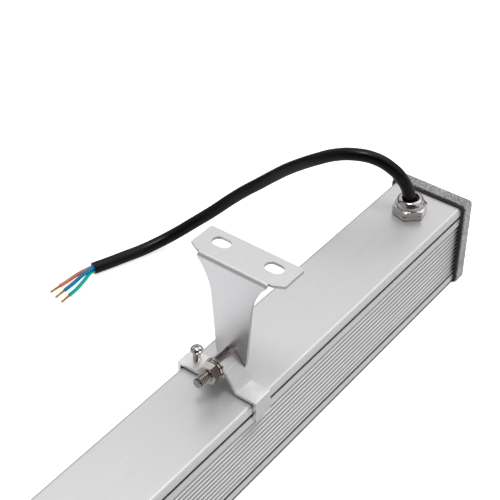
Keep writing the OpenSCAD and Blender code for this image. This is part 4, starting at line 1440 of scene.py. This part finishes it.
@dataclass
class Gland:
    """The plated cable gland on the bar's top."""

    y: float = 471.0
    turn: float = -17.0
    flats: float = 18.0
    base_z: float = 56.0
    seal_t: float = 0.5
    shank_r: float = 7.6
    shank_len: float = 9.9
    body_h: float = 2.4
    nut_h: float = 3.4
    nut_turn: float = 1.5
    dome_h: float = 4.6
    dome_r: float = 8.6
    mouth_r: float = 5.0
    lip: float = 0.7
    bore_r: float = 4.15
    insert_low: float = 58.9
    insert_high: float = 65.1
    insert_bore: float = 3.85
    insert_r: float = 4.9

    def place(self, shape: Shape, z: float) -> Shape:
        """Turns a gland piece and puts it on the bar."""
        return shape.move(spin(self.turn)).shift(y=self.y, z=z)

    def body(self) -> None:
        """Makes the hexagon flange with the threaded shank under it."""
        bore, shank, end, high = self.bore_r, self.shank_r, -self.shank_len, self.body_h
        rings = [
            (bore, end), (shank - 0.4, end), (shank, end + 0.4), (shank, -0.5), (shank, 0.0),
            *hexagon_rings(self.flats, 0.0, high, 0.9, 0.45), (shank - 0.2, high), (bore, high),
        ]
        self.place(Shape.turned(rings, 72, closed=True), self.base_z + self.seal_t).piece(
            "gland_body_hexagon", Palette.nickel, BAR, "nickel_plate", "gland_body", smooth=20)

    def dome_nut(self) -> None:
        """Makes the hexagon with the rounded dome that grips the cord."""
        low = self.base_z + self.seal_t + self.body_h
        top, lip_r = self.nut_h + self.dome_h, self.mouth_r + self.lip
        wide, roll = self.dome_r - lip_r, self.lip / 2
        rings: list[Flat | Ring] = [(self.mouth_r, 0.1), (self.shank_r - 0.4, 0.1)]
        rings += hexagon_rings(self.flats, 0.12, self.nut_h, 1.3, 0.7)
        rings += [(self.dome_r + 0.12, self.nut_h), (self.dome_r, self.nut_h + 0.1)]
        rings += [(lip_r + wide * x, self.nut_h + self.dome_h * z)
                  for x, z in arc((0.0, 0.0), 1.0, 5, 86, 16)]
        rings += arc((self.mouth_r + roll, top - roll), roll, 80, 180, 6) + [(self.mouth_r, 2.0)]
        nut = Shape.turned(rings, 96, closed=True).move(spin(self.nut_turn))
        self.place(nut, low).piece("gland_dome_nut_plated", Palette.nickel, BAR, "nickel_plate",
                                   "gland_dome_nut", smooth=20, flat_faces=False)

    def insert(self) -> None:
        """Makes the rubber insert, its lip a little proud round the cord."""
        low, high, lip = self.insert_low, self.insert_high, 0.3
        bore, out = self.insert_bore, self.insert_r
        rings = [
            (bore, low), (out, low), (out, high - lip),
            *arc((out - lip, high - lip), lip, 0, 90, 3), (bore + 0.25, high), (bore, high - 0.25),
        ]
        self.place(Shape.turned(rings, 48, closed=True), 0).piece(
            "gland_insert_rubber", Palette.rubber, BAR, "black_rubber", "gland_insert")

    def build(self) -> None:
        """Makes the gland."""
        self.body()
        self.dome_nut()
        self.insert()
        Shape.of_node("gland_seal").piece(
            "gland_seal_ring", Palette.rubber, BAR, "black_rubber", "gland_seal")


# ---- clips and brackets


@dataclass
class ClipSet:
    """One sliding clip with its lock screw, bolt, nut and washers."""

    side: Side
    y: float = 295.0
    length: float = 12.0
    wall: float = 1.7
    strap_z: float = 57.3
    leg_in: float = 23.3
    leg_low: float = 46.1
    hook_z: float = 50.2
    hook_t: float = 1.2
    hook_tip: float = 21.7
    hump_half: float = 13.0
    bolt_z: float = 69.0
    bore_r: float = 3.1
    slot_half: float = 2.4
    edge_r: float = 0.7
    bolt_r: float = 3.0
    bolt_len: float = 30.0
    bolt_y: float = 9.2
    bolt_head_h: float = 4.0
    neck_len: float = 4.0
    flats: float = 10.0
    bolt_tip_r: float = 2.3
    nut_h: float = 4.8
    nut_y: float = -8.6
    nut_turn: float = 6.0
    nut_bore: float = 3.05
    washer_ys: tuple[float, float] = (-6.0, 9.2)
    washer_r: float = 6.0
    washer_t: float = 1.2
    coil_y: float = -7.2
    coil_r: float = 5.4
    coil_gap: float = 9.0
    coil_rise: float = 0.2
    coil_steps: int = 44
    screw_x: float = -18.0
    screw_y: float = 1.1
    screw_r: float = 2.0
    screw_tip: float = 56.1
    head_z: float = 65.1
    head_h: float = 2.6
    head_r: float = 3.5

    @property
    def body(self) -> str:
        """The CAD body of the set."""
        return f"clip_set_{self.side.value}"

    def place(self, shape: Shape) -> Shape:
        """Brings a shape from the clip's own middle to its place on the bar."""
        return shape.shift(y=self.y).move(self.side.turn)

    def on_bolt(self, shape: Shape, y: float) -> Shape:
        """Lays a shape drawn along Z down the bolt's axis, towards the nut, and places it."""
        return self.place(shape.move(spin(90.0, "X")).shift(y=y, z=self.bolt_z))

    def steel(self, shape: Shape, node: str, form: str, *others: Finish, smooth: float = 32.0,
              flat_faces: bool = True) -> None:
        """Makes one of the set's steel pieces.

        Args:
            shape: The placed shape.
            node: Its CAD node, without the end.
            form: What the piece's name ends with.
            others: Further finishes, for the faces painted with them.
            smooth: Angle in degrees under which two faces shade as one.
            flat_faces: True where broad flat faces keep an even shade.
        """
        end = self.side.value
        shape.piece(f"{node}_{end}_{form}", (Palette.steel, *others), self.body, "fastener_steel",
                    f"{node}_{end}", smooth=smooth, flat_faces=flat_faces)

    def outline(self) -> list[Flat]:
        """Draws the clip's profile. The hump's flanks touch the bolt channel's ring.

        Returns:
            The closed outline.
        """
        top, out = self.strap_z + self.wall, self.leg_in + self.wall
        ring = self.bore_r + self.wall
        base = Vector((self.hump_half, top - self.bolt_z))
        turn = math.atan2(-base.y, -base.x) - math.asin(ring / base.length)
        along = Vector((math.cos(turn), math.sin(turn)))
        inwards = Vector((-along.y, along.x))
        touch = base + along * math.sqrt(base.length**2 - ring**2)
        under = base + inwards * self.wall
        under -= along * ((under.y - (self.strap_z - self.bolt_z)) / along.y)
        meet = touch + inwards * self.wall - along * math.sqrt(ring**2 - self.bore_r**2)
        centre, deg = (0.0, self.bolt_z), math.degrees
        lip = deg(math.acos(self.slot_half / ring))
        bore_lip = deg(math.acos(self.slot_half / self.bore_r))
        hook_low, hook_high = self.hook_z - self.hook_t / 2, self.hook_z + self.hook_t / 2
        right = [
            *arc(centre, ring, -90, deg(math.atan2(meet.y, meet.x)), 8),
            (under.x, self.strap_z), (self.leg_in, self.strap_z),
            (self.leg_in, hook_high), (self.hook_tip, hook_high),
            (self.hook_tip, hook_low), (self.leg_in, hook_low),
            (self.leg_in, self.leg_low), (out, self.leg_low),
            *arc((out - self.edge_r, top - self.edge_r), self.edge_r, 0, 90, 5),
            (self.hump_half, top), *arc(centre, ring, deg(math.atan2(touch.y, touch.x)), lip, 5),
            *arc(centre, self.bore_r, bore_lip, -90, 16),
        ]
        return [*right, *((-x, z) for x, z in reversed(right[1:-1]))]

    def clip(self) -> None:
        """Makes the sawn slice of extrusion, darker in the bolt channel."""
        reach, end = self.bore_r + 0.1, self.side.value
        body = Shape.plate(self.outline(), (), self.length, -self.length / 2)
        body.paint(lambda middle: math.hypot(middle.x, middle.z - self.bolt_z) < reach)
        self.place(body.round_edges(0.16, 2)).piece(
            f"clip_{end}_slice", (Palette.clip, Palette.channel), self.body, "clip_aluminium",
            f"clip_{end}")

    def lock_screw(self) -> None:
        """Makes the pan-head screw with its cross recess."""
        head, top, rim = self.head_z, self.head_z + self.head_h, self.head_r
        rings: list[Flat | Ring] = [(0, self.screw_tip), (1.5, self.screw_tip)]
        rings += Thread(self.screw_r, 0.8, 0.3, self.screw_tip + 0.3, head - 1.5).rings(7)
        rings += [(self.screw_r, head - 1.1), (self.screw_r, head), (rim - 0.3, head)]
        rings += [(rim - 0.04, head + 0.2), (rim, head + 0.8)]
        rings += arc((rim - self.head_h, head), self.head_h, 18, 90, 9) + [(0, top)]
        recess = cross_tool(1.75, 0.8, 1.5, top).move(Matrix.Rotation(0.55, 4, "Z"))
        body = Shape.turned(rings, 40).combine(recess).shift(self.screw_x, self.screw_y)
        self.steel(self.place(body), "lock_screw", "pan_head", flat_faces=False)

    def bolt_finish(self, point: Vector) -> int:
        """Tells which of the bolt's finishes a face wears.

        Args:
            point: The face's middle on the placed bolt.

        Returns:
            1 in the roots of the thread, which wear painted shade, 2 on the flat end and 0
            elsewhere.
        """
        start = self.y + self.bolt_y
        tip, neck = start - self.bolt_len + 0.2, start - self.neck_len - 0.1
        if abs(point.y) < tip - 0.15:
            return 2
        # faces deep between the crests get the thread roots' painted shade
        deep = math.hypot(point.x, point.z - self.bolt_z) < self.bolt_r - 0.3
        return int(deep and tip < abs(point.y) < neck)

    def bolt(self) -> None:
        """Makes the hexagon bolt, threaded up to a short plain neck."""
        length, head, tip = self.bolt_len, self.bolt_head_h, self.bolt_tip_r
        rings: list[Flat | Ring] = [(0, -head)]
        rings += hexagon_rings(self.flats, -head, 0.0, 0.75, 0.1)
        rings += [(self.bolt_r, 0.0), (self.bolt_r, self.neck_len)]
        rings += Thread(self.bolt_r, 1.0, 0.5, self.neck_len + 0.3, length, tip).rings(9)
        rings += [(tip - 0.2, length), (0, length)]
        body = self.on_bolt(Shape.turned(rings, 48), self.bolt_y).paint(self.bolt_finish)
        self.steel(body, "pivot_bolt", "threaded", Palette.root, Palette.bolt_end, smooth=28,
                   flat_faces=False)

    def nut(self) -> None:
        """Makes the hexagon nut with its corners turned off and its bore countersunk."""
        bore, high = self.nut_bore, self.nut_h
        rings: list[Flat | Ring] = [(bore, 0.5), (bore + 0.45, 0.02)]
        rings += hexagon_rings(self.flats, 0.0, high, 0.85)
        rings += [(bore + 0.45, high - 0.02), (bore, high - 0.5)]
        shape = Shape.turned(rings, 72, closed=True).move(spin(self.nut_turn))
        self.steel(self.on_bolt(shape, self.nut_y), "pivot_nut", "hexagon", smooth=20)

    def washers(self) -> None:
        """Makes the two flat washers."""
        bore, rim, high = self.bore_r, self.washer_r, self.washer_t
        rings = [
            (bore, 0), (rim - 0.15, 0), (rim, 0.15), (rim, high - 0.2), (rim - 0.2, high),
            (bore, high),
        ]
        both = Shape()
        for y in self.washer_ys:
            both.add(self.on_bolt(Shape.turned(rings, 56, closed=True), y))
        self.steel(both, "flat_washers", "pair")

    def coil(self) -> None:
        """Makes the split spring washer, one slanting turn with a gap."""
        bore, rim, low, high = self.bore_r, self.coil_r, 0.05, self.washer_t - 0.05
        section = [
            (bore, low), (rim - 0.1, low), (rim, low + 0.1), (rim, high - 0.1), (rim - 0.1, high),
            (bore, high),
        ]
        coil = Shape()
        face = coil.bm.faces.new([coil.bm.verts.new((x, 0.0, z)) for x, z in section])
        coil.move(spin(self.coil_gap / 2))
        bmesh.ops.spin(
            coil.bm, geom=[face], cent=(0, 0, 0), axis=(0, 0, 1),
            dvec=(0, 0, self.coil_rise / self.coil_steps), steps=self.coil_steps,
            angle=math.radians(360 - self.coil_gap), use_merge=False, use_normal_flip=False,
            use_duplicate=False)
        self.steel(self.on_bolt(coil.face_out(), self.coil_y), "spring_washer", "split")

    def build(self) -> None:
        """Makes the set."""
        self.clip()
        self.lock_screw()
        self.bolt()
        self.nut()
        self.washers()
        self.coil()


@dataclass
class FootBracket:
    """The bent sheet bracket that tilts about a clip's bolt."""

    side: Side
    y: float = 295.0
    sheet: float = 1.6
    web_y: float = 6.2
    bolt_z: float = 69.0
    hole_r: float = 3.06
    neck_half: float = 9.6
    shoulder_half: float = 12.1
    shoulder_z: float = 102.0
    top_z: float = 124.3
    bend_w: float = 41.4
    bend_r: float = 2.4
    bend_steps: int = 8
    foot_w: float = 56.8
    foot_root_w: float = 45.2
    foot_corner: float = 5.2
    foot_depth: float = 21.3
    ear_r: float = 0.8
    corner_r: float = 1.5
    slot_x: float = 16.0
    slot_back: float = 13.5
    slot_len: float = 10.5
    slot_w: float = 7.0

    @property
    def web_top(self) -> float:
        """Height at which the bend starts."""
        return self.top_z - self.bend_r

    @property
    def bend_len(self) -> float:
        """Length of the bend along its outer face."""
        return math.pi / 2 * self.bend_r

    def slots(self, level: float) -> list[list[Flat]]:
        """Draws the two fixing slots of the foot.

        Args:
            level: Height of their middle on the blank.

        Returns:
            The two loops.
        """
        reach, radius = (self.slot_len - self.slot_w) / 2, self.slot_w / 2
        return [
            [*arc((x + reach, level), radius, -90, 90, 14),
             *arc((x - reach, level), radius, 90, 270, 14)]
            for x in (-self.slot_x, self.slot_x)
        ]

    def blank(self) -> tuple[list[Flat], list[list[Flat]]]:
        """Draws the flat blank before bending: X across, and height along the outer face.

        Returns:
            The outline, and the loops of the bolt hole and the slots.
        """
        lean = math.atan2(self.shoulder_half - self.neck_half, self.shoulder_z - self.bolt_z)
        out, up = self.bend_w / 2 - self.shoulder_half, self.web_top - self.shoulder_z
        radius = (out**2 + up**2) / (2 * (out * math.cos(lean) - up * math.sin(lean)))
        centre = (self.shoulder_half + radius * math.cos(lean),
                  self.shoulder_z - radius * math.sin(lean))
        end = math.degrees(math.atan2(self.web_top - centre[1], self.bend_w / 2 - centre[0]))
        bend_top = self.web_top + self.bend_len
        flat = bend_top - self.bend_r
        half_foot = self.foot_w / 2
        ear = (half_foot - self.ear_r, flat + self.foot_corner + 0.5)
        corner = (half_foot - self.corner_r, flat + self.foot_depth - self.corner_r)
        half = [
            *arc((0.0, self.bolt_z), self.neck_half, -90, 0, 14),
            *arc(centre, radius, 180 - math.degrees(lean), end, 14),
            (self.bend_w / 2, bend_top), (self.foot_root_w / 2, bend_top + 0.01),
            *arc(ear, self.ear_r, -25, 0, 3), *arc(corner, self.corner_r, 0, 90, 5),
        ]
        hole = circle((0.0, self.bolt_z), self.hole_r, 32)
        return mirrored(half), [hole, *self.slots(flat + self.slot_back)]

    def bent(self, point: Vector) -> Vector:
        """Tells where a point of the upright blank lies once the sheet is bent.

        Args:
            point: The point.

        Returns:
            Its place on the bracket.
        """
        depth, rise = point.y - self.web_y, point.z - self.web_top
        if rise <= 0:
            return point
        radius = self.bend_r - depth
        turn = min(rise / self.bend_r, math.pi / 2)
        left = max(0.0, rise - self.bend_len)
        y = self.web_y + self.bend_r - radius * math.cos(turn) + left
        return Vector((point.x, y, self.web_top + radius * math.sin(turn)))

    def build(self) -> None:
        """Makes the bracket from its blank."""
        body = Shape.plate(*self.blank(), self.sheet, self.web_y)
        for index in range(self.bend_steps + 1):
            level = self.web_top + self.bend_len * index / self.bend_steps
            geom = body.bm.verts[:] + body.bm.edges[:] + body.bm.faces[:]
            bmesh.ops.bisect_plane(body.bm, geom=geom, plane_co=(0, 0, level),
                                   plane_no=(0, 0, 1), dist=1e-5)
        low, high = self.web_y + 0.001, self.web_y + self.sheet - 0.001
        body.round_edges(0.22, 2, angle=60, where=lambda m: m.y < low or m.y > high)
        body.paint(lambda middle: low + 0.25 < middle.y < high - 0.25)
        for vert in body.bm.verts:
            vert.co = self.bent(vert.co)
        end = self.side.value
        body.shift(y=self.y).move(self.side.turn).piece(
            f"foot_bracket_{end}_sheet", (Palette.sheet, Palette.sheared), f"bracket_{end}",
            "bracket_sheet", f"foot_bracket_{end}", smooth=34)


def main() -> None:
    """Builds the studio and every sub-assembly in turn."""
    logging.basicConfig(level=logging.INFO, format="%(name)s: %(message)s")
    Studio().build()
    Lead().build()
    Bar().build()
    Gland().build()
    for side in Side:
        ClipSet(side).build()
        FootBracket(side).build()


if __name__ == "__main__":
    main()
